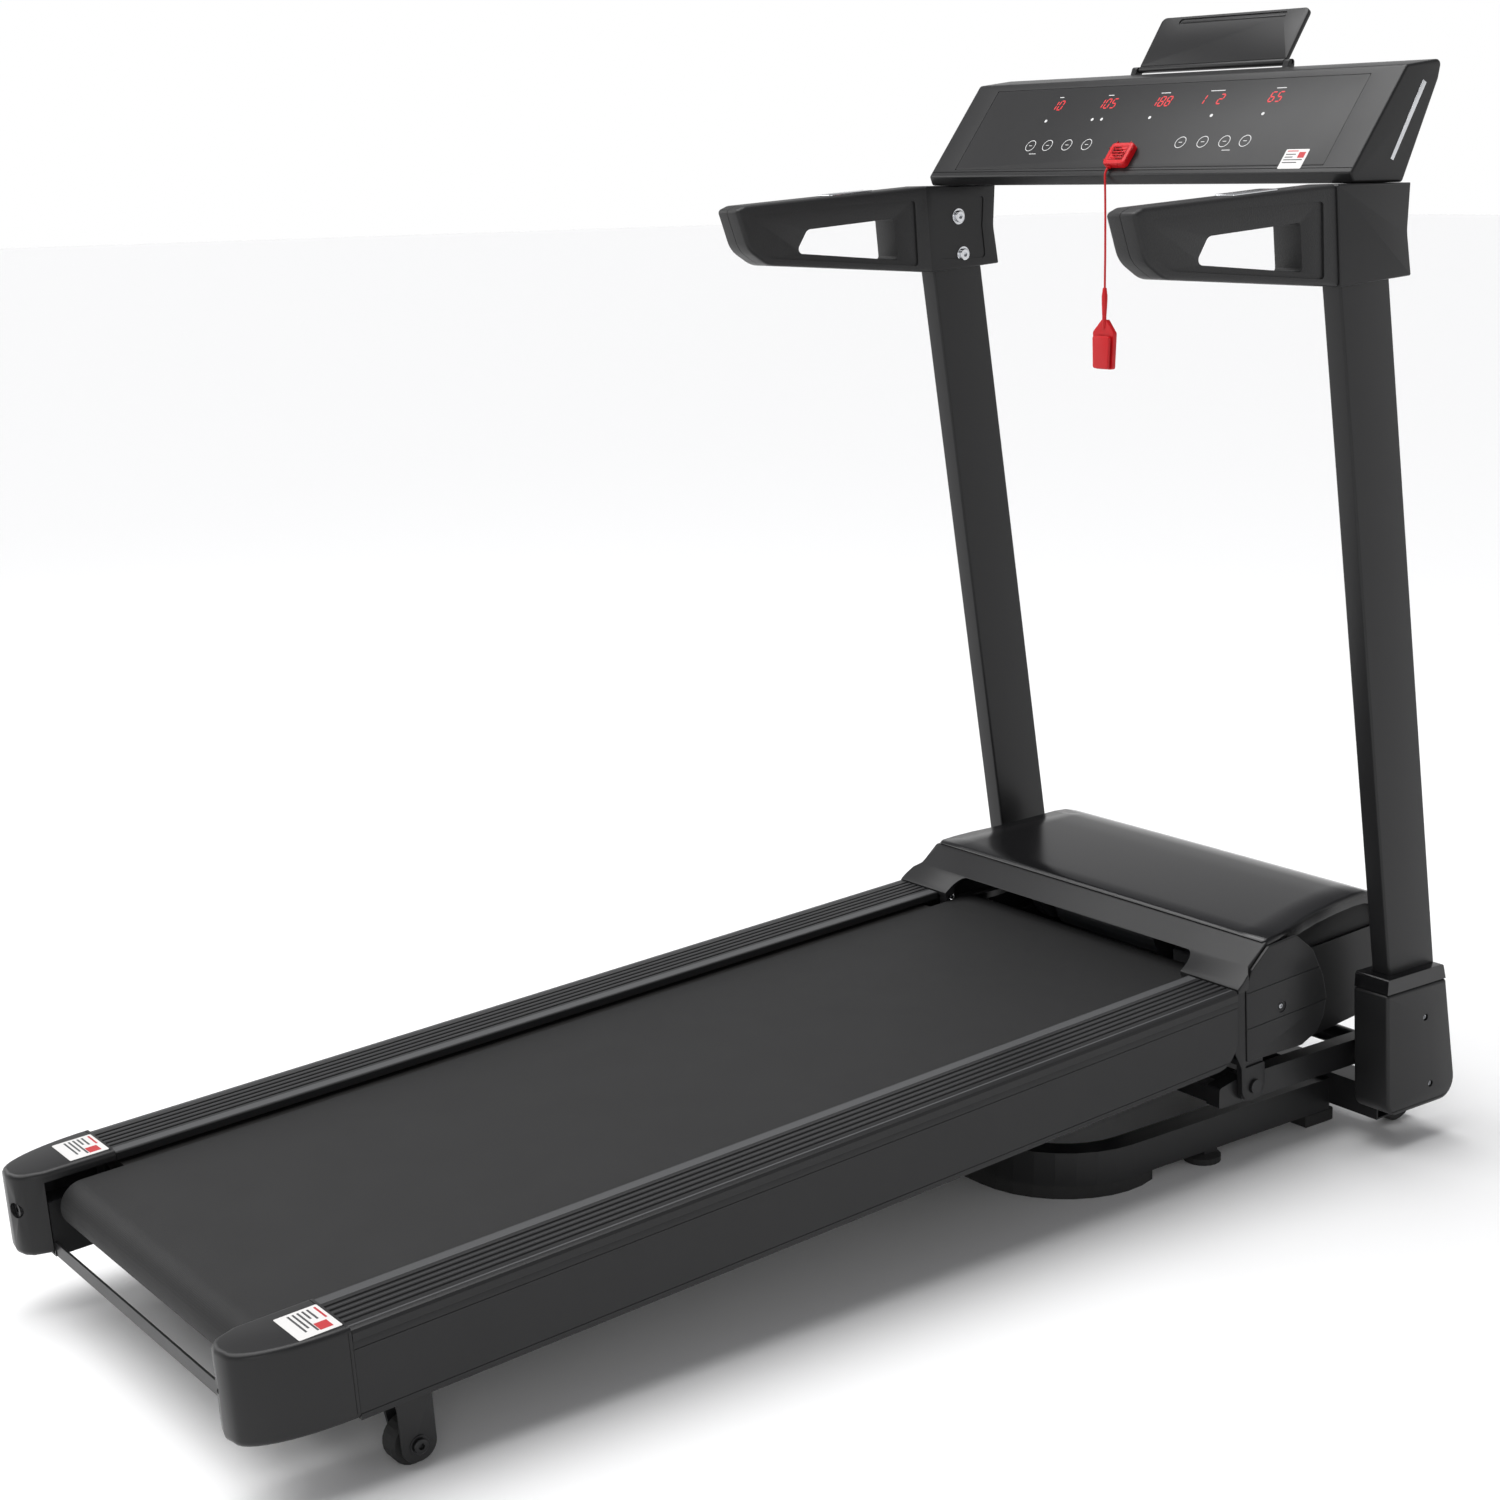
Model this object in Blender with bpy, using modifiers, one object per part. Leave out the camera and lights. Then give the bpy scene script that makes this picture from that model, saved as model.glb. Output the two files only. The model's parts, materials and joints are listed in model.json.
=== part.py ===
"""Folding treadmill: a base frame with two uprights and a console, and a deck that folds and inclines.

Units are metres. +X is the user's right, +Y points from the tail of the deck to the console, +Z is up.
Everything hangs from an empty at the middle of the footprint. The deck is modelled on a tilted empty:
X is across, Y runs along the deck from its tail and Z is the height over the foot rails. The uprights and
the console face have empties of their own.
"""

import math

import bmesh
import bpy
from mathutils import Matrix, Vector

# ---------------------------------------------------------------- driving dimensions
GAP = 0.0003  # between faces that touch
RUNNING = 0.0003  # radial clearance of a shaft in its hole

# overall
TAIL_Y = -0.109  # rearmost point, the tip of the rear caps
FRONT_Y = 1.466  # foremost point, the toe of the foot covers
DECK_HALF_WIDTH = 0.300
DECK_TILT = math.radians(3.474)
DECK_REAR_HEIGHT = 0.164  # top of the foot rails over the floor, at the tail seam
DECK_LENGTH = 1.139  # tail seam to hood lip, along the deck

# deck
FOOT_RAIL_WIDTH = 0.078
FOOT_RAIL_HEIGHT = 0.012
SIDE_RAIL_HEIGHT = 0.090
SIDE_RAIL_WIDTH = 0.036
STEEL = 0.002  # wall of the steel tubes
BELT_THICKNESS = 0.0018
BELT_TOP = -0.0102
BOARD_THICKNESS = 0.018
ROLLER_RADIUS = 0.024
REAR_ROLLER_Y = -0.045
FRONT_ROLLER_Y = 1.178
AXLE_RADIUS = 0.0045
LONGERON_WIDTH = 0.027  # inner length members that carry the board and rollers
LONGERON_CLEARANCE = 0.0145  # from a longeron to the side rail's inner face
LONGERON_OUTER = DECK_HALF_WIDTH - SIDE_RAIL_WIDTH - LONGERON_CLEARANCE
LONGERON_INNER = LONGERON_OUTER - LONGERON_WIDTH
PULLEY_ROOM = 0.015  # between the belt's edge and a longeron
BELT_HALF_WIDTH = LONGERON_INNER - PULLEY_ROOM
TENSION_BOLT_X = LONGERON_OUTER - 0.0085
TENSION_SHANK = 0.003
CAP_LENGTH = -TAIL_Y

# hood
HOOD_LIP_Y = 1.1412
HOOD_RIDGE_Y = 1.204
HOOD_RIDGE_Z = 0.0411
HOOD_FRONT_Y = 1.437
HOOD_FRONT_Z = 0.0475
HOOD_WAIST = LONGERON_OUTER + 0.008  # half-width in front of the wide part
HOOD_WIDE_END_Y = 1.292
HOOD_WALL = 0.003
HOOD_SEAM_Z = -0.004
PAN_FLOOR_Z = -0.112

# lift frame and base
AXLE_A = Vector((0, 1.400, 0.102))  # fold and incline axle
PIVOT_B = Vector((0, 1.180, 0.106))  # deck on lift frame
AXLE_A_RADIUS = 0.0125
ARM_INNER = HOOD_WAIST + 0.0045
ARM_WIDTH = 0.020
ARM_HEIGHT = 0.032
BASE_HALF_WIDTH = HOOD_WAIST - 0.013
BASE_REAR_Y = 0.905
BASE_TUBE = (0.030, 0.040)
BASE_BOTTOM = 0.017
BASE_CORNER = 0.110
FRONT_TUBE_Y = 1.389
MID_TUBE_Y = 1.322
STRUT_X = -0.070
STRUT_FOOT = Vector((STRUT_X, 1.300, 0.045))
STRUT_HEAD = Vector((STRUT_X, 0.800, 0.108))
RAM_X = 0.080
RAM_HEAD = Vector((RAM_X, 0.860, 0.105))
RAM_FOOT = Vector((RAM_X, 1.170, 0.046))
REAR_WHEEL_X = LONGERON_OUTER + 0.0195
REAR_WHEEL_Y = 0.068
REAR_WHEEL_RADIUS = 0.024
TRANSPORT_X = DECK_HALF_WIDTH - 0.010
TRANSPORT_Y = FRONT_Y - 0.028
TRANSPORT_RADIUS = 0.028

# uprights
UPRIGHT_OUTER = DECK_HALF_WIDTH + 0.0455
UPRIGHT_THICKNESS = 0.0264
UPRIGHT_DEPTH = 0.081
UPRIGHT_FOOT_Y = 1.384  # where the rear face would meet the floor
UPRIGHT_LEAN = math.radians(9.436)
UPRIGHT_BOTTOM = 0.054
UPRIGHT_TOP = 1.098
COVER_INNER = DECK_HALF_WIDTH + 0.008
COVER_OUTER = DECK_HALF_WIDTH + 0.060
COVER_TOP = 0.220
COVER_BOTTOM = 0.047
COVER_WALL = 0.003

# console
NECK_INNER = DECK_HALF_WIDTH + 0.012
NECK_OUTER = DECK_HALF_WIDTH + 0.055
NECK_TOP = 1.1315
HANDLE_INNER = DECK_HALF_WIDTH + 0.010
HANDLE_OUTER = DECK_HALF_WIDTH + 0.052
CONSOLE_LIP = Vector((0, 1.226, 1.143))
CONSOLE_TILT = math.radians(52.61)  # of the face, up from horizontal
CONSOLE_HALF = DECK_HALF_WIDTH + 0.0435
CONSOLE_FACE = 0.1416  # lip to top edge, along the face
PANEL_HALF = 0.300
PANEL_MARGIN = 0.010
PANEL_THICKNESS = 0.003
FLAP_HINGE = Vector((0, 1.3745, 1.2675))
FLAP_HALF = 0.1174
FLAP_LENGTH = 0.0735
FLAP_LEAN = math.radians(34.0)
FLAP_THICKNESS = 0.006
FLAP_PIN = 0.0022
KEY_AT = (-0.0134, 0.0253)  # across and up the console face
KEY_STEM = 0.006
CORD_RADIUS = 0.0013


# ---------------------------------------------------------------- helpers
def fresh_collection(name):
    collection = bpy.data.collections.new(name)
    bpy.context.scene.collection.children.link(collection)
    return collection


for old in list(bpy.data.objects):
    bpy.data.objects.remove(old, do_unlink=True)
PARTS = fresh_collection("treadmill")
CUTTERS = fresh_collection("cutters")


def empty(name, parent=None, location=(0, 0, 0), tilt=0.0):
    holder = bpy.data.objects.new(name, None)
    PARTS.objects.link(holder)
    holder.parent = parent
    holder.location = location
    holder.rotation_euler = (tilt, 0, 0)
    return holder


CENTRE = empty("footprint_centre", None, (0, -(TAIL_Y + FRONT_Y) / 2, 0))
DECK = empty("deck_plane", CENTRE, (0, 0, DECK_REAR_HEIGHT), DECK_TILT)
UPRIGHTS = empty("upright_plane", CENTRE, (0, UPRIGHT_FOOT_Y, 0), UPRIGHT_LEAN)
FACE = empty("console_plane", CENTRE, CONSOLE_LIP, CONSOLE_TILT)

FINISHES = {
    "frame_paint": ((0.018, 0.018, 0.019), 0.55, 0.2),
    "dark_plastic": ((0.020, 0.020, 0.021), 0.6, 0.0),
    "gloss_plastic": ((0.012, 0.012, 0.013), 0.12, 0.0),
    "belt_black": ((0.035, 0.036, 0.038), 0.8, 0.0),
    "board_wood": ((0.30, 0.22, 0.14), 0.7, 0.0),
    "rubber": ((0.02, 0.02, 0.02), 0.9, 0.0),
    "steel": ((0.55, 0.56, 0.58), 0.35, 1.0),
    "chrome": ((0.75, 0.76, 0.78), 0.12, 1.0),
    "cast_metal": ((0.30, 0.31, 0.32), 0.5, 1.0),
    "circuit_green": ((0.02, 0.10, 0.05), 0.5, 0.0),
    "safety_red": ((0.70, 0.02, 0.03), 0.4, 0.0),
}


def finish_of(name, finish):
    """A material of the part's own, in one of the finishes."""
    colour, roughness, metallic = FINISHES[finish]
    material = bpy.data.materials.new(name + "_" + finish)
    material.use_nodes = True
    shader = material.node_tree.nodes["Principled BSDF"]
    shader.inputs["Base Color"].default_value = (*colour, 1)
    shader.inputs["Roughness"].default_value = roughness
    shader.inputs["Metallic"].default_value = metallic
    material.diffuse_color = (*colour, 1)
    return material


def place(name, mesh, finish, parent):
    """Links a mesh as a part, or as a cutter when it has no finish."""
    piece = bpy.data.objects.new(name, mesh)
    piece.parent = parent
    if finish:
        mesh.materials.append(finish_of(name, finish))
        PARTS.objects.link(piece)
    else:
        piece.hide_render = True
        piece.display_type = "WIRE"
        CUTTERS.objects.link(piece)
    return piece


def mesh_from(bm, name):
    mesh = bpy.data.meshes.new(name)
    bm.to_mesh(mesh)
    bm.free()
    return mesh


def soften(bm, width, chosen, segments=1):
    """Rounds the chosen edges."""
    edges = [edge for edge in bm.edges if chosen(edge)]
    if width > 0 and edges:
        bmesh.ops.bevel(
            bm, geom=edges, offset=width, segments=segments, profile=0.5, affect="EDGES", clamp_overlap=True
        )


def box(name, finish, parent, low, high, bevel=0.0, segments=1):
    """A block between two corners, with all its edges rounded."""
    bm = bmesh.new()
    size = [b - a for a, b in zip(low, high)]
    middle = [(a + b) / 2 for a, b in zip(low, high)]
    bmesh.ops.create_cube(bm, size=1.0, matrix=Matrix.Translation(middle) @ Matrix.Diagonal((*size, 1)))
    soften(bm, bevel, lambda edge: True, segments)
    return place(name, mesh_from(bm, name), finish, parent)


def rod(name, finish, parent, start, end, radius, sides=14):
    """A round bar from one point to another."""
    start = Vector(start)
    run = Vector(end) - start
    turn = run.to_track_quat("Z", "Y").to_matrix().to_4x4()
    bm = bmesh.new()
    bmesh.ops.create_cone(
        bm, cap_ends=True, segments=sides, radius1=radius, radius2=radius, depth=run.length,
        matrix=Matrix.Translation(start + run / 2) @ turn,
    )
    piece = place(name, mesh_from(bm, name), finish, parent)
    piece.data.shade_smooth()
    piece.data.set_sharp_from_angle(angle=math.radians(40))
    return piece


def turned(name, finish, parent, profile, at, along, sides=20):
    """A profile of (radius, height) turned round the axis through a point. It runs down its outer side."""
    bm = bmesh.new()
    corners = [bm.verts.new((r, 0, h)) for r, h in profile]
    closed = profile[0][0] > 0 or profile[-1][0] > 0
    for i in range(len(corners) - (0 if closed else 1)):
        bm.edges.new((corners[i], corners[(i + 1) % len(corners)]))
    piece = place(name, mesh_from(bm, name), finish, parent)
    piece.matrix_parent_inverse = Matrix.Identity(4)
    piece.location = at
    piece.rotation_mode = "QUATERNION"
    piece.rotation_quaternion = Vector(along).to_track_quat("Z", "Y")
    screw = piece.modifiers.new("turn", "SCREW")
    screw.axis = "Z"
    screw.steps = sides
    screw.render_steps = sides
    screw.use_merge_vertices = True
    screw.merge_threshold = 0.0001
    screw.use_normal_calculate = False
    return piece


def arc(centre, radius, start, end, steps):
    """Points on an arc, angles in degrees."""
    turn = [math.radians(start + (end - start) * i / steps) for i in range(steps + 1)]
    return [(centre[0] + radius * math.cos(a), centre[1] + radius * math.sin(a)) for a in turn]


def rounded(corners, radius, steps=3):
    """An outline with its corners rounded. A radius may be one number or one for each corner."""
    radii = radius if isinstance(radius, (list, tuple)) else [radius] * len(corners)
    outline = []
    for i, (corner, r) in enumerate(zip(corners, radii)):
        here = Vector(corner)
        before = (Vector(corners[i - 1]) - here)
        after = (Vector(corners[(i + 1) % len(corners)]) - here)
        half = before.angle(after) / 2
        if r <= 0 or half > math.radians(88):
            outline.append(tuple(here))
            continue
        reach = min(r / math.tan(half), before.length * 0.49, after.length * 0.49)
        centre = here + (before.normalized() + after.normalized()).normalized() * (reach / math.cos(half))
        first = here + before.normalized() * reach - centre
        last = here + after.normalized() * reach - centre
        sweep = first.angle_signed(last)
        for k in range(steps + 1):
            outline.append(tuple(centre + Matrix.Rotation(-sweep * k / steps, 2) @ first))
    return outline


TURNS = {
    "x": Matrix(((0, 0, 1, 0), (1, 0, 0, 0), (0, 1, 0, 0), (0, 0, 0, 1))),  # outline in Y, Z
    "y": Matrix(((1, 0, 0, 0), (0, 0, -1, 0), (0, 1, 0, 0), (0, 0, 0, 1))),  # outline in X, Z
    "z": Matrix.Identity(4),  # outline in X, Y
}


def plate(name, finish, parent, outline, low, high, across="x", holes=(), bevel=0.0, segments=1):
    """A flat outline, with holes, given a thickness from low to high along one axis."""
    curve = bpy.data.curves.new(name, "CURVE")
    curve.dimensions = "2D"
    curve.fill_mode = "BOTH"
    curve.extrude = (high - low) / 2
    for loop in (outline, *holes):
        spline = curve.splines.new("POLY")
        spline.points.add(len(loop) - 1)
        for point, (u, v) in zip(spline.points, loop):
            point.co = (u, v, 0, 1)
        spline.use_cyclic_u = True
    drawn = bpy.data.objects.new(name + "_outline", curve)
    bpy.context.scene.collection.objects.link(drawn)
    bpy.context.view_layer.update()
    mesh = bpy.data.meshes.new_from_object(drawn.evaluated_get(bpy.context.evaluated_depsgraph_get()))
    bpy.data.objects.remove(drawn, do_unlink=True)
    mesh.materials.clear()
    shift = (low + high) / 2
    move = Matrix.Translation((0, 0, -shift if across == "y" else shift))
    mesh.transform(TURNS[across] @ move)
    bm = bmesh.new()
    bm.from_mesh(mesh)
    bmesh.ops.remove_doubles(bm, verts=bm.verts, dist=0.00001)
    bmesh.ops.recalc_face_normals(bm, faces=bm.faces)
    if bevel:
        bmesh.ops.dissolve_limit(bm, angle_limit=math.radians(1), verts=bm.verts, edges=bm.edges)
        axis = "xyz".index(across)
        soften(bm, bevel, lambda edge: abs(edge.verts[0].co[axis] - edge.verts[1].co[axis]) < 1e-6,
               segments)
    bpy.data.meshes.remove(mesh)
    return place(name, mesh_from(bm, name), finish, parent)


def channel(name, finish, parent, route, width, height, wall):
    """A hollow rectangular tube along a level route, open at both ends."""
    guide_curve = bpy.data.curves.new(name + "_section", "CURVE")
    guide_curve.dimensions = "2D"
    section = guide_curve.splines.new("POLY")
    section.points.add(3)
    for point, (u, v) in zip(section.points, ((-1, -1), (1, -1), (1, 1), (-1, 1))):
        point.co = (u * width / 2, v * height / 2, 0, 1)
    section.use_cyclic_u = True
    guide = bpy.data.objects.new(name + "_section", guide_curve)
    bpy.context.scene.collection.objects.link(guide)
    curve = bpy.data.curves.new(name, "CURVE")
    curve.dimensions = "3D"
    curve.twist_mode = "Z_UP"
    curve.bevel_mode = "OBJECT"
    curve.bevel_object = guide
    spline = curve.splines.new("POLY")
    spline.points.add(len(route) - 1)
    for point, co in zip(spline.points, route):
        point.co = (*co, 1)
    drawn = bpy.data.objects.new(name + "_route", curve)
    bpy.context.scene.collection.objects.link(drawn)
    bpy.context.view_layer.update()
    mesh = bpy.data.meshes.new_from_object(drawn.evaluated_get(bpy.context.evaluated_depsgraph_get()))
    bpy.data.objects.remove(drawn, do_unlink=True)
    bpy.data.objects.remove(guide, do_unlink=True)
    mesh.materials.clear()
    bm = bmesh.new()
    bm.from_mesh(mesh)
    bmesh.ops.remove_doubles(bm, verts=bm.verts, dist=0.00001)
    centre = sum((v.co for v in bm.verts), Vector()) / len(bm.verts)
    bmesh.ops.recalc_face_normals(bm, faces=bm.faces)
    top = max(bm.faces, key=lambda face: face.calc_center_median().z)
    if top.normal.z < 0:
        bmesh.ops.reverse_faces(bm, faces=bm.faces)
    bpy.data.meshes.remove(mesh)
    piece = place(name, mesh_from(bm, name), finish, parent)
    wall_of = piece.modifiers.new("wall", "SOLIDIFY")
    wall_of.thickness = wall
    wall_of.offset = -1
    wall_of.use_even_offset = True
    return piece


def tube(name, finish, parent, low, high, along, wall=STEEL, bevel=0.0):
    """A straight rectangular tube between two corners, open at its ends along one axis."""
    bm = bmesh.new()
    size = [b - a for a, b in zip(low, high)]
    middle = [(a + b) / 2 for a, b in zip(low, high)]
    bmesh.ops.create_cube(bm, size=1.0, matrix=Matrix.Translation(middle) @ Matrix.Diagonal((*size, 1)))
    axis = "xyz".index(along)
    if bevel:
        soften(bm, bevel, lambda e: abs(e.verts[0].co[axis] - e.verts[1].co[axis]) > 1e-6, 1)
    ends = [face for face in bm.faces if abs(face.normal[axis]) > 0.9]
    bmesh.ops.delete(bm, geom=ends, context="FACES")
    piece = place(name, mesh_from(bm, name), finish, parent)
    wall_of = piece.modifiers.new("wall", "SOLIDIFY")
    wall_of.thickness = wall
    wall_of.offset = -1
    wall_of.use_even_offset = True
    return piece


def boolean(piece, other, operation):
    if other.name not in CUTTERS.objects:
        PARTS.objects.unlink(other)
        CUTTERS.objects.link(other)
        other.hide_render = True
        other.display_type = "WIRE"
    step = piece.modifiers.new(operation.lower(), "BOOLEAN")
    step.operation = operation
    step.object = other
    return piece


def cut(piece, *cutters):
    for cutter in cutters:
        boolean(piece, cutter, "DIFFERENCE")
    return piece


def join(piece, *others):
    for other in others:
        boolean(piece, other, "UNION")
    return piece


def origin_at(piece, point):
    """Moves a piece's origin to a point of its parent's frame, without moving its shape."""
    piece.data.transform(Matrix.Translation(-Vector(point)))
    piece.location = Vector(point)
    return piece


SIDES = (("l", -1), ("r", 1))


def between(side, a, b):
    """The low and high X of a stretch on one side of the middle."""
    return (a, b) if side > 0 else (-b, -a)


def side_box(name, finish, parent, side, x, y, z, bevel=0.0):
    low, high = between(side, *x)
    return box(name, finish, parent, (low, y[0], z[0]), (high, y[1], z[1]), bevel)


def side_plate(name, finish, parent, side, outline, x, holes=(), bevel=0.0, segments=1):
    low, high = between(side, *x)
    return plate(name, finish, parent, outline, low, high, "x", holes, bevel, segments)


def circle(centre, radius, steps=12):
    return arc(centre, radius, 0, 360 - 360 / steps, steps - 1)


def to_deck(point):
    """A point of the level frame, on the deck's own plane."""
    y, z = point[1], point[2] - DECK_REAR_HEIGHT
    c, s = math.cos(DECK_TILT), math.sin(DECK_TILT)
    return Vector((point[0], y * c + z * s, z * c - y * s))


# ---------------------------------------------------------------- base frame
def make_base():
    width, height = BASE_TUBE
    x = BASE_HALF_WIDTH - width / 2
    z = BASE_BOTTOM + height / 2
    rear = BASE_REAR_Y + width / 2
    front_low = FRONT_TUBE_Y - 0.020
    bend = arc((x - BASE_CORNER, rear + BASE_CORNER), BASE_CORNER, 0, -90, 8)
    right = [(x, front_low + STEEL / 2)] + bend
    route = right + [(-u, v) for u, v in reversed(right)]
    base = channel("base_frame", "frame_paint", CENTRE, [(u, v, z) for u, v in route], width, height, STEEL)

    front_reach = UPRIGHT_OUTER - UPRIGHT_THICKNESS - GAP
    front = tube(
        "base_front_tube", "frame_paint", CENTRE, (-front_reach, front_low, 0.025),
        (front_reach, front_low + 0.040, 0.065), "x",
    )
    inner = BASE_HALF_WIDTH - width + STEEL / 2
    middle = tube(
        "base_mid_tube", "frame_paint", CENTRE, (-inner, MID_TUBE_Y - 0.010, 0.022),
        (inner, MID_TUBE_Y + 0.010, 0.052), "x",
    )
    join(base, front, middle)
    for name, side in SIDES:
        lug = rounded([(1.374, 0.064), (1.407, 0.064), (1.418, 0.120), (1.382, 0.120)],
                      [0, 0, 0.016, 0.016])
        eye = circle((AXLE_A.y, AXLE_A.z), AXLE_A_RADIUS + RUNNING, 16)
        join(base, side_plate("base_lug_" + name, "frame_paint", CENTRE, side, lug,
                              (DECK_HALF_WIDTH - 0.0085, DECK_HALF_WIDTH - 0.0015), [eye]))
        fork = rounded(
            [(1.408, 0.028), (1.444, 0.020), (1.452, 0.029), (1.444, 0.038), (1.408, 0.062)], [0, 0.007,
                                                                                               0.01, 0.007,
                                                                                               0]
        )
        join(base, side_plate("wheel_lug_" + name, "frame_paint", CENTRE, side, fork,
                              (TRANSPORT_X - 0.0185, TRANSPORT_X - 0.0145)))
        start, end = between(side, TRANSPORT_X - 0.017, TRANSPORT_X + 0.0125)
        at = (TRANSPORT_Y, TRANSPORT_RADIUS + 0.0005)
        join(base, rod("wheel_stub_" + name, "frame_paint", CENTRE, (start, *at), (end, *at), 0.004))
        socket = side_box(
            "foot_boss_" + name, "frame_paint", CENTRE, side, (BASE_HALF_WIDTH - 0.0185,
                                                               BASE_HALF_WIDTH - 0.001), (1.150, 1.172),
                                                               (0.0125, 0.020)
        )
        join(base, socket)
    for name, off in (("a", -0.0115), ("b", 0.0115)):
        ear = rounded([(1.288, 0.033), (1.3135, 0.030), (1.3135, 0.050), (1.303, 0.056), (1.288, 0.056)],
                      0.005)
        low, high = STRUT_X + off - 0.002, STRUT_X + off + 0.002
        join(base, plate("strut_ear_" + name, "frame_paint", CENTRE, ear, low, high))
    pin_low, pin_high = (STRUT_X - 0.0125, *STRUT_FOOT[1:]), (STRUT_X + 0.0125, *STRUT_FOOT[1:])
    join(base, rod("strut_pin", "frame_paint", CENTRE, pin_low, pin_high, 0.004))
    for name, at in (("rear", (0.0, rear)), ("left", (-x, 1.25)), ("right", (x, 1.25)),
                     ("mid", (0.15, MID_TUBE_Y))):
        low, high = (at[0], at[1], -0.01), (at[0], at[1], z)
        cut(base, rod("drain_" + name, None, CENTRE, low, high, 0.004, 12))
    return base


def make_feet():
    outer = BASE_HALF_WIDTH - 0.001
    inner = BASE_HALF_WIDTH - BASE_TUBE[0] + 0.001
    for name, side in SIDES:
        x = (outer + inner) / 2 * side
        profile = [(0.0, 0.0122), (0.014, 0.0122), (0.0225, 0.008), (0.0225, 0.001), (0.0215, 0.0),
                   (0.0, 0.0)]
        turned("mid_foot_" + name, "rubber", CENTRE, profile, (x, 1.161, 0), (0, 0, 1), 20)
        side_box(
            "front_foot_" + name, "rubber", CENTRE, side, (inner, outer), (1.330, 1.380),
            (0.0, BASE_BOTTOM - GAP), 0.0015
        )
    rear = BASE_REAR_Y
    centre = (BASE_HALF_WIDTH - BASE_TUBE[0] / 2 - BASE_CORNER, rear + BASE_TUBE[0] / 2 + BASE_CORNER)
    outside = arc(centre, BASE_CORNER + 0.013, 20, -90, 10)
    inside = arc(centre, BASE_CORNER - 0.013, -90, 20, 10)
    outline = outside + [(-u, v) for u, v in reversed(outside)]
    outline += [(-u, v) for u, v in reversed(inside)] + inside
    plate("rear_pad", "rubber", CENTRE, outline, 0.0, BASE_BOTTOM - GAP, "z")


def make_uprights():
    c = math.cos(UPRIGHT_LEAN)
    for name, side in SIDES:
        x = between(side, UPRIGHT_OUTER - UPRIGHT_THICKNESS, UPRIGHT_OUTER)
        tube(
            "upright_" + name, "frame_paint", UPRIGHTS, (x[0], 0, UPRIGHT_BOTTOM / c), (x[1], UPRIGHT_DEPTH,
                                                                                        UPRIGHT_TOP / c),
            "z", bevel=0.003,
        )
        corners = [(1.3275, COVER_TOP), (1.4315, COVER_TOP), (FRONT_Y, COVER_BOTTOM), (1.338, COVER_BOTTOM)]
        cover_x = (COVER_INNER, COVER_OUTER)
        cover = side_plate(
            "foot_cover_" + name, "dark_plastic", CENTRE, side, rounded(corners,
                                                                        [0.006, 0.006, 0.022, 0.018]),
                                                                        cover_x, (), 0.005
        )
        w = COVER_WALL
        hollow = [(1.3275 + w, 0.197), (1.4315 + 0.002, 0.197), (FRONT_Y - w - 0.004, COVER_BOTTOM + 0.02),
                  (FRONT_Y - 0.022, COVER_BOTTOM - 0.01), (1.338 + 0.016, COVER_BOTTOM - 0.01),
                  (1.338 + w, COVER_BOTTOM + 0.02)]
        cut(cover, side_plate("cover_hollow_" + name, None, CENTRE, side, hollow,
                              (COVER_INNER + w, COVER_OUTER - w)))
        fit = GAP * 2
        opening = box(
            "cover_mouth_" + name, None, UPRIGHTS, (x[0] - fit, -fit, 0.16), (x[1] + fit,
                                                                              UPRIGHT_DEPTH + fit, 0.30)
        )
        cut(cover, opening)
        notch = side_box(
            "cover_notch_" + name, None, CENTRE, side, (COVER_INNER - 0.01, COVER_INNER + 0.008),
            (FRONT_TUBE_Y - 0.021, FRONT_TUBE_Y + 0.021), (0.0, 0.066)
        )
        cut(cover, notch)
        for tag, y, z in (("a", 1.400, 0.160), ("b", 1.415, 0.073)):
            low, high = between(side, COVER_OUTER - 0.012, COVER_OUTER + 0.01)
            cut(cover, rod("cover_screw_" + tag + name, None, CENTRE, (low, y, z), (high, y, z), 0.0035,
                           14))


# ---------------------------------------------------------------- console
def neck_outline():
    top = NECK_TOP
    return [(1.2035, 1.024), (1.3195, 1.032), (1.3100, 1.080), (1.3122, top), (1.1925, top)]


def make_necks_and_handles():
    c = math.cos(UPRIGHT_LEAN)
    for name, side in SIDES:
        neck = side_plate(
            "neck_" + name, "dark_plastic", CENTRE, side, rounded(neck_outline(), [0, 0, 0.03, 0, 0.004]),
            (NECK_INNER, NECK_OUTER), (), 0.002,
        )
        x = between(side, UPRIGHT_OUTER - UPRIGHT_THICKNESS, UPRIGHT_OUTER)
        fit = GAP
        bore = box(
            "neck_bore_" + name, None, UPRIGHTS, (x[0] - fit, -fit, 0.98), (x[1] + fit, UPRIGHT_DEPTH + fit,
                                                                            UPRIGHT_TOP / c + fit)
        )
        cut(neck, bore)
        face_low, face_high = (1.2035 - GAP, 1.024), (1.1925 - GAP, NECK_TOP)
        outline = rounded(
            [(0.894, 1.108), (0.912, 1.060), (0.942, 1.0415), face_low, face_high, (1.05, 1.1225),
             (0.908, 1.1135)],
            [0.004, 0.03, 0.03, 0, 0, 0, 0.010],
        )
        window = rounded([(0.985, 1.055), (1.1475, 1.0415), (1.1415, 1.093), (1.003, 1.083)],
                         [0.006, 0.004, 0.004, 0.010], 3)
        side_plate(
            "handle_" + name, "dark_plastic", CENTRE, side, outline, (HANDLE_INNER,
                                                                      HANDLE_OUTER), [window], 0.004
        )
        lie = [(1.044, 1.1223 + GAP), (1.113, 1.1270 + GAP), (1.113, 1.1285 + GAP), (1.044, 1.1238 + GAP)]
        side_plate("pulse_plate_" + name, "chrome", CENTRE, side, lie,
                   (HANDLE_INNER + 0.007, HANDLE_OUTER - 0.007))


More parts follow.
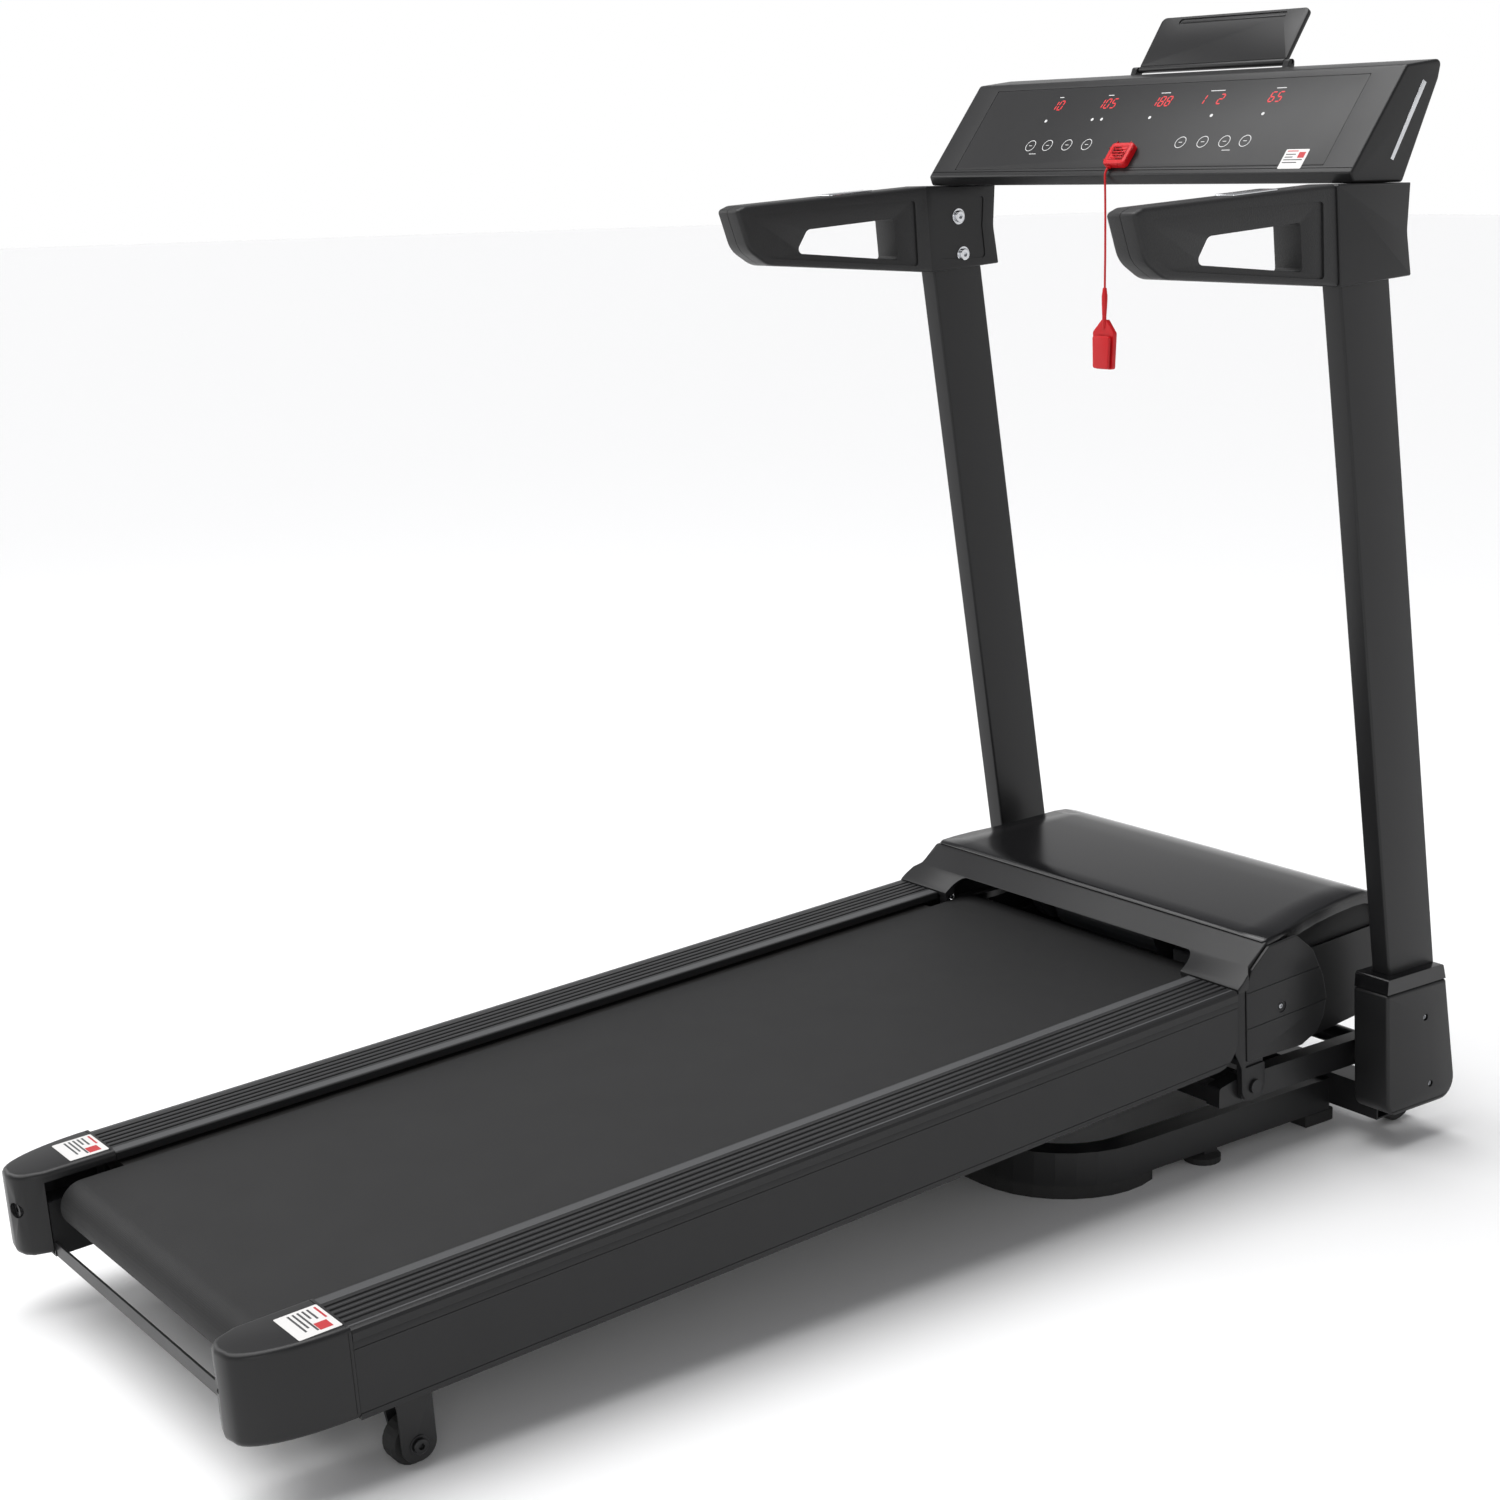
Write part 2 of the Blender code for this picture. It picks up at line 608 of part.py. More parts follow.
def console_section():
    """The body's outline seen from its end: lip, face, top, back and underside."""
    lip = (CONSOLE_LIP.y, CONSOLE_LIP.z)
    top = (lip[0] + CONSOLE_FACE * math.cos(CONSOLE_TILT), lip[1] + CONSOLE_FACE * math.sin(CONSOLE_TILT))
    under = NECK_TOP + GAP
    return [lip, top, (1.371, 1.2627), (1.366, 1.241), (1.3128, under), (1.2305, under)]


def make_console():
    shell = plate(
        "console_shell", "gloss_plastic", CENTRE, rounded(console_section(),
                                                          [0.003, 0.006, 0.006, 0.012, 0.004, 0.003], 3),
        -CONSOLE_HALF, CONSOLE_HALF, "x",
    )
    bm = bmesh.new()
    bm.from_mesh(shell.data)
    bmesh.ops.dissolve_limit(bm, angle_limit=math.radians(1), verts=bm.verts, edges=bm.edges)
    soften(bm, 0.012, lambda e: min(abs(v.co.x) for v in e.verts) > CONSOLE_HALF - 1e-4, 2)
    bm.to_mesh(shell.data)
    bm.free()
    low = (-PANEL_HALF, PANEL_MARGIN, -0.030)
    high = (PANEL_HALF, CONSOLE_FACE - PANEL_MARGIN, 0.01)
    cut(shell, box("console_cavity", None, FACE, low, high))
    deep = [(1.2440, 1.1375), (1.3080, 1.1375), (1.3560, 1.2350), (1.3200, 1.2400)]
    cut(shell, plate("console_hollow", None, CENTRE, deep, -PANEL_HALF, PANEL_HALF, "x"))

    stem_hole = circle(KEY_AT, KEY_STEM + RUNNING * 2, 20)
    edge = (PANEL_HALF - GAP, PANEL_MARGIN + GAP, CONSOLE_FACE - PANEL_MARGIN - GAP)
    outline = [(-edge[0], edge[1]), (edge[0], edge[1]), (edge[0], edge[2]), (-edge[0], edge[2])]
    panel = plate("console_panel", "gloss_plastic", FACE, outline, -PANEL_THICKNESS, 0.0, "z", [stem_hole])
    for name, side in SIDES:
        low, high = between(side, 0.020, 0.026)
        join(panel, plate("key_clip_" + name, "gloss_plastic", FACE,
                          [(low, 0.012), (high, 0.012), (high, 0.030), (low, 0.030)],
                          -0.012, -PANEL_THICKNESS / 2, "z"))
    bar = (PANEL_HALF - 0.004, 1.2780, 1.1400)
    tube(
        "console_crossbar", "frame_paint", CENTRE, (-bar[0], bar[1], bar[2]), (bar[0], bar[1] + 0.022,
                                                                               bar[2] + 0.022), "x"
    )


def make_flap():
    """The tablet rest and the two knuckles that its pin turns in."""
    up = Vector((0, math.sin(FLAP_LEAN), math.cos(FLAP_LEAN)))
    across = Vector((0, -math.cos(FLAP_LEAN), math.sin(FLAP_LEAN)))
    holder = empty("flap_plane", CENTRE, FLAP_HINGE, -FLAP_LEAN)
    assert up.dot(across) < 1e-9
    low, high = 0.0035, FLAP_LENGTH
    outline = rounded([(-FLAP_HALF, low), (FLAP_HALF, low), (FLAP_HALF, high), (-FLAP_HALF, high)],
                      [0.001, 0.001, 0.008, 0.008])
    flap = plate("tablet_flap", "dark_plastic", holder, outline, -FLAP_THICKNESS / 2, FLAP_THICKNESS / 2,
                 "y", (), 0.001)
    barrel = rod("flap_barrel", "dark_plastic", holder, (-FLAP_HALF + 0.001, 0, 0),
                 (FLAP_HALF - 0.001, 0, 0), 0.0042)
    pin = rod("flap_pin", "dark_plastic", holder, (-FLAP_HALF - 0.008, 0, 0), (FLAP_HALF + 0.008, 0, 0),
              FLAP_PIN, 12)
    join(flap, barrel, pin)
    for name, side in SIDES:
        x = between(side, FLAP_HALF + 0.0005, FLAP_HALF + 0.009)
        lug = [(-0.012, -0.017), (0.001, -0.012), (0.0045, -0.004), (0.0045, 0.0035), (-0.0045, 0.0035)]
        knuckle = [(FLAP_HINGE.y + u, FLAP_HINGE.z + v) for u, v in rounded(lug, [0, 0, 0, 0.004, 0.004])]
        bore = circle((FLAP_HINGE.y, FLAP_HINGE.z), FLAP_PIN + RUNNING)
        join(bpy.data.objects["console_shell"], plate("flap_knuckle_" + name, "gloss_plastic", CENTRE,
                                                      knuckle, x[0], x[1], "x", [bore]))
    return flap


def make_key():
    x, v = KEY_AT
    key = plate(
        "safety_key", "safety_red", FACE, rounded([(x - 0.018, v - 0.0155), (x + 0.018, v - 0.0155),
                                                   (x + 0.018, v + 0.0155),
                                                   (x - 0.018,
                                                    v + 0.0155)], 0.005), GAP, 0.0085, "z", (), 0.0015,
    )
    join(key, rod("key_stem", "safety_red", FACE, (x, v, -0.0085), (x, v, 0.004), KEY_STEM))
    tab = rounded([(x - 0.013, v - 0.0178), (x - 0.005, v - 0.0178), (x - 0.005, v - 0.010),
                   (x - 0.013, v - 0.010)], 0.0015)
    join(key, plate("key_tab", "safety_red", FACE, tab, 0.0015, 0.0065, "z"))
    origin_at(key, (x, v, 0))


CORD_ROUTE = [  # level frame: from the key's tab, over the lip and straight down to the clip
    (-0.0224, 1.2270, 1.1509), (-0.0227, 1.2252, 1.1482), (-0.0229, 1.2239, 1.1448), (-0.0228, 1.2235,
                                                                                      1.1405),
    (-0.0226, 1.2235, 1.1350), (-0.0223, 1.2235, 1.1280), (-0.0219, 1.2235, 1.1180), (-0.0215, 1.2235,
                                                                                      1.1060),
    (-0.0211, 1.2235, 1.0920), (-0.0208, 1.2235, 1.0760), (-0.0205, 1.2235, 1.0600), (-0.0203, 1.2235,
                                                                                      1.0440),
    (-0.0202, 1.2235, 1.0280), (-0.0201, 1.2235, 1.0125), (-0.0201, 1.2235, 0.9900), (-0.0201, 1.2235,
                                                                                      0.9670),
]
CORD_END = (-0.0201, 1.2235)


def smooth_route(points, spacing):
    """Points at an even spacing on a smooth curve through the given ones."""
    points = [Vector(p) for p in points]
    fine = []
    for i in range(len(points) - 1):
        a, b = points[max(i - 1, 0)], points[i]
        c, d = points[i + 1], points[min(i + 2, len(points) - 1)]
        for k in range(12):
            t = k / 12
            square, cube = 2 * a - 5 * b + 4 * c - d, 3 * b - a - 3 * c + d
            fine.append(0.5 * (2 * b + (c - a) * t + square * t * t + cube * t ** 3))
    fine.append(points[-1])
    total = sum((q - p).length for p, q in zip(fine, fine[1:]))
    count = max(2, round(total / spacing))
    route, walked, target = [fine[0]], 0.0, total / count
    for p, q in zip(fine, fine[1:]):
        walked += (q - p).length
        while walked >= target - 1e-9 and len(route) <= count:
            route.append(q)
            target += total / count
    return route


def make_cord():
    curve = bpy.data.curves.new("safety_cord", "CURVE")
    curve.dimensions = "3D"
    curve.bevel_depth = CORD_RADIUS
    curve.bevel_resolution = 2
    curve.use_fill_caps = True
    route = smooth_route(CORD_ROUTE, CORD_RADIUS * 4)
    spline = curve.splines.new("POLY")
    spline.points.add(len(route) - 1)
    for point, co in zip(spline.points, route):
        point.co = (*co, 1)
    cord = bpy.data.objects.new("safety_cord", curve)
    cord.parent = CENTRE
    curve.materials.append(finish_of("safety_cord", "safety_red"))
    PARTS.objects.link(cord)

    x, y = CORD_END
    sleeve_top, clip_top, clip_low = 1.0125 - GAP, 0.974, 0.916
    sleeve = rod("cord_sleeve", "safety_red", CENTRE, (x, y, clip_top - 0.011), (x, y, sleeve_top), 0.0026,
                 12)
    bore_radius = CORD_RADIUS + RUNNING
    bore = rod("sleeve_bore", None, CENTRE, (x, y, clip_top - 0.0074), (x, y, sleeve_top + 0.01),
               bore_radius, 12)
    house = [(-0.0035, clip_top), (-0.0185, 0.9595), (-0.0135, clip_low), (0.0145, clip_low),
             (0.0165, 0.9590), (0.0035, clip_top)]
    outline = rounded([(x + u, v) for u, v in house], [0.002, 0.004, 0.003, 0.003, 0.004, 0.002])
    clip = plate("cord_clip", "safety_red", CENTRE, outline, y - 0.0005, y + 0.005, "y", (), 0.001)
    pivot_z = 0.940
    pivot = rod("clip_pin", "safety_red", CENTRE, (x - 0.007, y - 0.0035, pivot_z),
                (x + 0.007, y - 0.0035, pivot_z), 0.0012, 12)
    hold = box("clip_lug", "safety_red", CENTRE, (x - 0.007, y - 0.0045, pivot_z - 0.0012),
               (x - 0.0045, y + 0.001, pivot_z + 0.0012))
    hold_r = box("clip_lug_r", "safety_red", CENTRE, (x + 0.0045, y - 0.0045, pivot_z - 0.0012),
                 (x + 0.007, y + 0.001, pivot_z + 0.0012))
    join(clip, sleeve, pivot, hold, hold_r)
    cut(clip, bore)
    lever = rounded([(x - 0.012, clip_low + 0.001), (x + 0.012, clip_low + 0.001), (x + 0.012, 0.9555),
                     (x - 0.012, 0.9555)], 0.003)
    notch_l = [(x - 0.0078, pivot_z - 0.003), (x - 0.0040, pivot_z - 0.003), (x - 0.0040, pivot_z + 0.003),
               (x - 0.0078, pivot_z + 0.003)]
    notch_r = [(2 * x - u, v) for u, v in notch_l]
    jaw = plate("clip_lever", "safety_red", CENTRE, lever, y - 0.0062, y - 0.0026, "y", [notch_l, notch_r])
    cut(jaw, rod("clip_bore", None, CENTRE, (x - 0.006, y - 0.0035, pivot_z),
                 (x + 0.006, y - 0.0035, pivot_z), 0.0015, 12))
    origin_at(jaw, (x, y - 0.0035, pivot_z))
    return jaw


# ---------------------------------------------------------------- deck
BELT_INNER = BELT_TOP - BELT_THICKNESS
ROLLER_Z = BELT_INNER - GAP - ROLLER_RADIUS
BOARD_TOP = BELT_INNER - 2 * GAP
BOARD_BOTTOM = BOARD_TOP - BOARD_THICKNESS
LONGERON_TOP = BOARD_BOTTOM - GAP
RAIL_BOTTOM = -SIDE_RAIL_HEIGHT
FRAME_BOTTOM = RAIL_BOTTOM - 0.002
RETURN_BOTTOM = ROLLER_Z - ROLLER_RADIUS - GAP - BELT_THICKNESS
SEAM_GAP = 0.0006


def make_deck_frame():
    frame = tube(
        "deck_frame", "frame_paint", DECK, (LONGERON_INNER, -0.078, FRAME_BOTTOM), (LONGERON_OUTER, 1.418,
                                                                                    LONGERON_TOP), "y"
    )
    other = tube(
        "longeron_l", "frame_paint", DECK, (-LONGERON_OUTER, -0.078, FRAME_BOTTOM), (-LONGERON_INNER, 1.418,
                                                                                     LONGERON_TOP), "y"
    )
    join(frame, other)
    reach = LONGERON_INNER + STEEL / 2
    top = RETURN_BOTTOM - 0.003
    for tag, y in (("a", 0.045), ("b", 0.420), ("c", 0.808), ("d", 0.868), ("e", 1.112)):
        join(frame, tube("cross_" + tag, "frame_paint", DECK, (-reach, y - 0.014, FRAME_BOTTOM + 0.0005),
                         (reach, y + 0.014, top), "x"))
        cut(frame, rod("cross_drain_" + tag, None, DECK, (0.15, y, FRAME_BOTTOM - 0.01),
                       (0.15, y, FRAME_BOTTOM + 0.01), 0.003, 10))
    join(frame, box("rear_bar", "frame_paint", DECK, (-reach, -0.077, FRAME_BOTTOM + 0.0006),
                    (reach, -0.0745, FRAME_BOTTOM + 0.016)))
    join(frame, box("motor_plate", "frame_paint", DECK, (-reach, 1.245, FRAME_BOTTOM + 0.0005),
                    (reach, 1.412, FRAME_BOTTOM + 0.0035)))
    pivot = to_deck(PIVOT_B)
    for name, side in SIDES:
        arm_clear = ARM_INNER + ARM_WIDTH + 0.0015
        bar = side_box(
            "ear_bar_" + name, "frame_paint", DECK, side, (LONGERON_OUTER - STEEL / 2, arm_clear + 0.005),
            (pivot.y - 0.022, pivot.y + 0.018), (FRAME_BOTTOM - 0.0065, FRAME_BOTTOM + 0.0010),
        )
        ear = rounded(
            [(pivot.y - 0.0215, FRAME_BOTTOM - 0.001), (pivot.y - 0.0200, pivot.z - 0.012),
             (pivot.y - 0.004, pivot.z - 0.019),
             (pivot.y + 0.0165, pivot.z - 0.012), (pivot.y + 0.0175, FRAME_BOTTOM - 0.001)], [0, 0.010,
                                                                                              0.014, 0.010,
                                                                                              0]
        )
        eye = circle((pivot.y, pivot.z), 0.0050 + RUNNING, 16)
        join(frame, bar, side_plate("ear_" + name, "frame_paint", DECK, side, ear,
                                    (arm_clear, arm_clear + 0.005), [eye]))
        low, high = between(side, LONGERON_INNER - 0.01, LONGERON_OUTER + 0.01)
        for tag, y in (("rear", REAR_ROLLER_Y), ("front", FRONT_ROLLER_Y)):
            start, end = (low, y, ROLLER_Z), (high, y, ROLLER_Z)
            cut(frame, rod("roller_bore_" + tag + name, None, DECK, start, end, AXLE_RADIUS + RUNNING, 16))
        start, end = (TENSION_BOLT_X * side, -0.12, ROLLER_Z), (TENSION_BOLT_X * side, REAR_ROLLER_Y,
                                                                ROLLER_Z)
        cut(frame, rod("shank_path_" + name, None, DECK, start, end, TENSION_SHANK + RUNNING, 16))
        wheel = to_deck(Vector((0, REAR_WHEEL_Y, REAR_WHEEL_RADIUS + 0.0004)))
        link = side_box(
            "fork_root_" + name, "frame_paint", DECK, side, (LONGERON_OUTER - STEEL / 2,
                                                             REAR_WHEEL_X + 0.017),
            (wheel.y - 0.018, wheel.y + 0.018), (FRAME_BOTTOM - 0.0045, FRAME_BOTTOM + 0.0010),
        )
        join(frame, link)
        for tag, x in (("in", REAR_WHEEL_X - 0.017), ("out", REAR_WHEEL_X + 0.013)):
            cheek = rounded(
                [(wheel.y - 0.018, FRAME_BOTTOM - 0.002), (wheel.y - 0.010, wheel.z - 0.009),
                 (wheel.y + 0.010, wheel.z - 0.009), (wheel.y + 0.018, FRAME_BOTTOM - 0.002)], [0, 0.009,
                                                                                                0.009, 0]
            )
            join(frame, side_plate("fork_" + tag + name, "frame_paint", DECK, side, cheek, (x, x + 0.004)))
        low, high = between(side, REAR_WHEEL_X - 0.016, REAR_WHEEL_X + 0.016)
        join(frame, rod("fork_pin_" + name, "frame_paint", DECK, (low, wheel.y, wheel.z),
                        (high, wheel.y, wheel.z), 0.004))
    head = to_deck(STRUT_HEAD)
    for name, off in (("a", -0.0145), ("b", 0.0105)):
        slot = rounded([(head.y - 0.0046, head.z - 0.034), (head.y + 0.0046, head.z - 0.034),
                        (head.y + 0.0046, head.z + 0.0046), (head.y - 0.0046, head.z + 0.0046)], 0.0044)
        cheek = rounded([(head.y - 0.014, FRAME_BOTTOM + 0.002), (head.y - 0.010, head.z - 0.040),
                         (head.y + 0.010, head.z - 0.040),
                         (head.y + 0.014, FRAME_BOTTOM + 0.002)], [0, 0.006, 0.006, 0])
        join(frame, plate("strut_head_" + name, "frame_paint", DECK, cheek, STRUT_X + off,
                          STRUT_X + off + 0.004, "x", [slot]))
    ram = to_deck(RAM_HEAD)
    for name, off in (("a", -0.0145), ("b", 0.0105)):
        eye = circle((ram.y, ram.z), 0.0040 + RUNNING, 14)
        cheek = rounded([(ram.y - 0.012, FRAME_BOTTOM + 0.002), (ram.y - 0.009, ram.z - 0.009),
                         (ram.y + 0.009, ram.z - 0.009),
                         (ram.y + 0.012, FRAME_BOTTOM + 0.002)], [0, 0.006, 0.006, 0])
        join(frame, plate("ram_head_" + name, "frame_paint", DECK, cheek, RAM_X + off, RAM_X + off + 0.004,
                          "x", [eye]))
    return frame


def make_deck_pieces():
    board_half = DECK_HALF_WIDTH - SIDE_RAIL_WIDTH - GAP
    box("deck_board", "board_wood", DECK, (-board_half, 0.004, BOARD_BOTTOM),
        (board_half, 1.118, BOARD_TOP), 0.0)

    outer = ROLLER_RADIUS + GAP + BELT_THICKNESS
    inner = ROLLER_RADIUS + GAP
    loops = []
    for r in (outer, inner):
        rear = arc((REAR_ROLLER_Y, ROLLER_Z), r, 90, 270, 12)
        front = arc((FRONT_ROLLER_Y, ROLLER_Z), r, -90, 90, 12)
        loops.append(rear + front)
    plate("running_belt", "belt_black", DECK, loops[0], -BELT_HALF_WIDTH, BELT_HALF_WIDTH, "x", [loops[1]])

    foot_inner = DECK_HALF_WIDTH - FOOT_RAIL_WIDTH
    rail_x = (DECK_HALF_WIDTH - SIDE_RAIL_WIDTH, DECK_HALF_WIDTH - 0.001)
    for name, side in SIDES:
        rail_top = -FOOT_RAIL_HEIGHT - GAP
        corners = [(SEAM_GAP, RAIL_BOTTOM), (DECK_LENGTH, RAIL_BOTTOM), (DECK_LENGTH, rail_top),
                   (SEAM_GAP, rail_top)]
        rail = side_plate(
            "side_rail_" + name, "frame_paint", DECK, side, rounded(corners, [0, 0.034, 0, 0],
                                                                    6), rail_x, (), 0.0
        )
        w = STEEL
        pocket = [(SEAM_GAP + w, RAIL_BOTTOM + w), (DECK_LENGTH - w, RAIL_BOTTOM + w),
                  (DECK_LENGTH - w, rail_top - w),
                  (SEAM_GAP + w, rail_top - w)]
        x = (rail_x[0] - 0.01, rail_x[1] - w)
        cut(rail, side_plate("rail_pocket_" + name, None, DECK, side, rounded(pocket, [0, 0.032, 0, 0], 6),
                             x))
        ribbed = [(foot_inner, 0.0)]
        pitch = 0.0095
        for k in range(5):
            x0 = foot_inner + 0.020 + k * pitch
            ribbed += [(x0, 0.0), (x0 + 0.001, -0.0015), (x0 + 0.003, -0.0015), (x0 + 0.004, 0.0)]
        ribbed += [(DECK_HALF_WIDTH - 0.004, 0.0), (DECK_HALF_WIDTH, -0.004),
                   (DECK_HALF_WIDTH, -FOOT_RAIL_HEIGHT)]
        ribbed += [(DECK_HALF_WIDTH - SIDE_RAIL_WIDTH - 0.001, -FOOT_RAIL_HEIGHT),
                   (foot_inner + 0.004, -0.0095), (foot_inner, -0.0085)]
        profile = [(u * side, v) for u, v in ribbed]
        plate("foot_rail_" + name, "dark_plastic", DECK, profile, SEAM_GAP, DECK_LENGTH, "y")


def cap_plan(side):
    """Plan of a rear cap: a long outer sweep into a blunt tail."""
    r = CAP_LENGTH
    outer = DECK_HALF_WIDTH
    tip = outer - 0.038
    sweep = [(tip + (outer - tip) * math.cos(a),
              -r * 0.985 * math.sin(a)) for a in [math.radians(15 * k) for k in range(7)]]
    foot_inner = DECK_HALF_WIDTH - FOOT_RAIL_WIDTH
    plan = sweep + [(outer - 0.056, -r), (outer - 0.068, -r + 0.006), (foot_inner, -r + 0.030),
                    (foot_inner, 0.0)]
    return [(u * side, v) for u, v in plan]


def make_rear_caps():
    for name, side in SIDES:
        cap = plate("rear_cap_" + name, "dark_plastic", DECK, cap_plan(side), RAIL_BOTTOM + 0.001, 0.0030,
                    "z", (), 0.0035, 2)
        pocket = side_box(
            "cap_pocket_" + name, None, DECK, side, (LONGERON_INNER - 0.0225,
                                                     LONGERON_OUTER + 0.0005), (-0.0792, 0.01),
                                                     (-0.12, -0.0080)
        )
        cut(cap, pocket)
        hollow = side_box("cap_hollow_" + name, None, DECK, side,
                          (LONGERON_OUTER - 0.0095, DECK_HALF_WIDTH - 0.014), (-0.060, 0.01),
                          (-0.12, -0.0080))
        cut(cap, hollow)
        x = TENSION_BOLT_X * side
        z = ROLLER_Z
        cut(cap, rod("cap_bore_" + name, None, DECK, (x, -0.14, z), (x, -0.100, z), 0.0085, 20))
        cut(cap, rod("cap_shank_" + name, None, DECK, (x, -0.12, z), (x, -0.06, z),
                     TENSION_SHANK + RUNNING))
        bolt = rod("tension_bolt_" + name, "steel", DECK, (x, -0.1045, z), (x, -0.1003, z), 0.0075, 18)
        join(bolt, rod("bolt_shank_" + name, "steel", DECK, (x, -0.102, z),
                       (x, REAR_ROLLER_Y - AXLE_RADIUS - 0.003, z), TENSION_SHANK))
        cut(bolt, rod("bolt_socket_" + name, None, DECK, (x, -0.12, z), (x, -0.1015, z), 0.0035, 6))


def make_rollers():
    width = BELT_HALF_WIDTH + 0.002
    end = LONGERON_OUTER - STEEL - 0.001
    for name, y in (("rear_roller", REAR_ROLLER_Y), ("front_roller", FRONT_ROLLER_Y)):
        profile = [(0.0, end), (AXLE_RADIUS, end), (AXLE_RADIUS, width), (ROLLER_RADIUS, width),
                   (ROLLER_RADIUS, -width)]
        if name == "front_roller":
            profile += [(ROLLER_PULLEY_RADIUS, -width), (ROLLER_PULLEY_RADIUS, PULLEY_X - 0.0055)]
            profile += [(AXLE_RADIUS, PULLEY_X - 0.0055)]
        else:
            profile += [(AXLE_RADIUS, -width)]
        profile += [(AXLE_RADIUS, -end), (0.0, -end)]
        turned(name, "steel", DECK, profile, (0, y, ROLLER_Z), (1, 0, 0), 24)


def make_wheels():
    for name, side in SIDES:
        hub = 0.004 + RUNNING
        w, r = 0.0108, REAR_WHEEL_RADIUS
        profile = [(hub, w), (r - 0.003, w), (r, w - 0.003), (r, -w + 0.003), (r - 0.003, -w), (hub, -w)]
        at = to_deck(Vector((0, REAR_WHEEL_Y, REAR_WHEEL_RADIUS + 0.0004)))
        turned("rear_wheel_" + name, "rubber", DECK, profile, (REAR_WHEEL_X * side, at.y, at.z), (1, 0, 0),
               24)
        w, r = 0.0100, TRANSPORT_RADIUS
        profile = [(hub, w), (r - 0.003, w), (r, w - 0.003), (r, -w + 0.003), (r - 0.003, -w), (hub, -w)]
        centre = ((TRANSPORT_X - 0.0035) * side, TRANSPORT_Y, TRANSPORT_RADIUS + 0.0005)
        turned("transport_wheel_" + name, "rubber", CENTRE, profile, centre, (1, 0, 0), 24)


def make_lift_frame():
    """Two arms on the front axle and a cross tube behind the deck's pivot."""
    tail, nose = PIVOT_B.y - 0.012, AXLE_A.y + 0.016
    low, high = AXLE_A.z - ARM_HEIGHT / 2, AXLE_A.z + ARM_HEIGHT / 2
    inner, outer = ARM_INNER, ARM_INNER + ARM_WIDTH
    cross = tube(
        "lift_frame", "frame_paint", CENTRE, (-inner - STEEL / 2, 1.136, 0.0875), (inner + STEEL / 2, 1.160,
                                                                                   0.1065), "x"
    )
    for name, side in SIDES:
        corners = [(1.131, low), (nose, low), (nose, high), (tail, high), (1.131, high - 0.007)]
        arm = side_plate(
            "arm_" + name, "frame_paint", CENTRE, side, rounded(corners,
                                                                [0.003, 0.014, 0.014, 0.004, 0.004]),
                                                                (inner, outer)
        )
        w = STEEL
        core = [(1.165, low + w), (nose - 0.008, low + w), (nose - 0.008, high - w), (1.165, high - w)]
        start, end = between(side, inner + w, outer - w)
        core = plate("arm_core_" + name, None, CENTRE, core, start, end)
        cut(arm, core)
        join(cross, arm)
        for tag, at, r in (("axle", AXLE_A, AXLE_A_RADIUS), ("pivot", PIVOT_B, 0.0050)):
            start, end = between(side, inner - 0.01, outer + 0.01)
            cut(cross, rod("arm_eye_" + tag + name, None, CENTRE, (start, at.y, at.z), (end, at.y, at.z),
                           r + RUNNING, 20))
    for name, off in (("a", -0.0145), ("b", 0.0105)):
        y, z = RAM_FOOT.y, RAM_FOOT.z
        ear = rounded([(1.140, 0.0886), (1.158, 0.0886), (y + 0.009, z + 0.006), (y + 0.007, z - 0.009),
                       (y - 0.008, z - 0.008), (1.142, 0.070)],
                      [0, 0, 0.01, 0.006, 0.006, 0])
        eye = circle((y, z), 0.0040 + RUNNING, 14)
        join(cross, plate("ram_ear_" + name, "frame_paint", CENTRE, ear, RAM_X + off, RAM_X + off + 0.004,
                          "x", [eye]))
    cut(cross, rod("lift_drain", None, CENTRE, (-0.15, 1.148, 0.08), (-0.15, 1.148, 0.095), 0.003, 10))
    reach = DECK_HALF_WIDTH - 0.001
    profile = [(0.0, reach), (AXLE_A_RADIUS, reach), (AXLE_A_RADIUS, -reach), (0.0, -reach)]
    turned("front_axle", "steel", CENTRE, profile, AXLE_A, (1, 0, 0), 24)
    for name, side in SIDES:
        r = 0.0050
        profile = [(0.0, 0.0135), (0.0085, 0.0135), (0.0085, 0.0075), (r, 0.0075), (r, -0.0185),
                   (0.0, -0.0185)]
        at = ((ARM_INNER + 0.0192) * side, PIVOT_B.y, PIVOT_B.z)
        turned("pivot_bolt_" + name, "steel", CENTRE, profile, at, (side, 0, 0), 20)
    return cross


def link_empty(name, foot, head):
    """A frame at one end of a link: its Z runs along the link, its X across the machine."""
    run = head - foot
    holder = empty(name, CENTRE, foot, math.atan2(-run.y, run.z))
    return holder, run.length


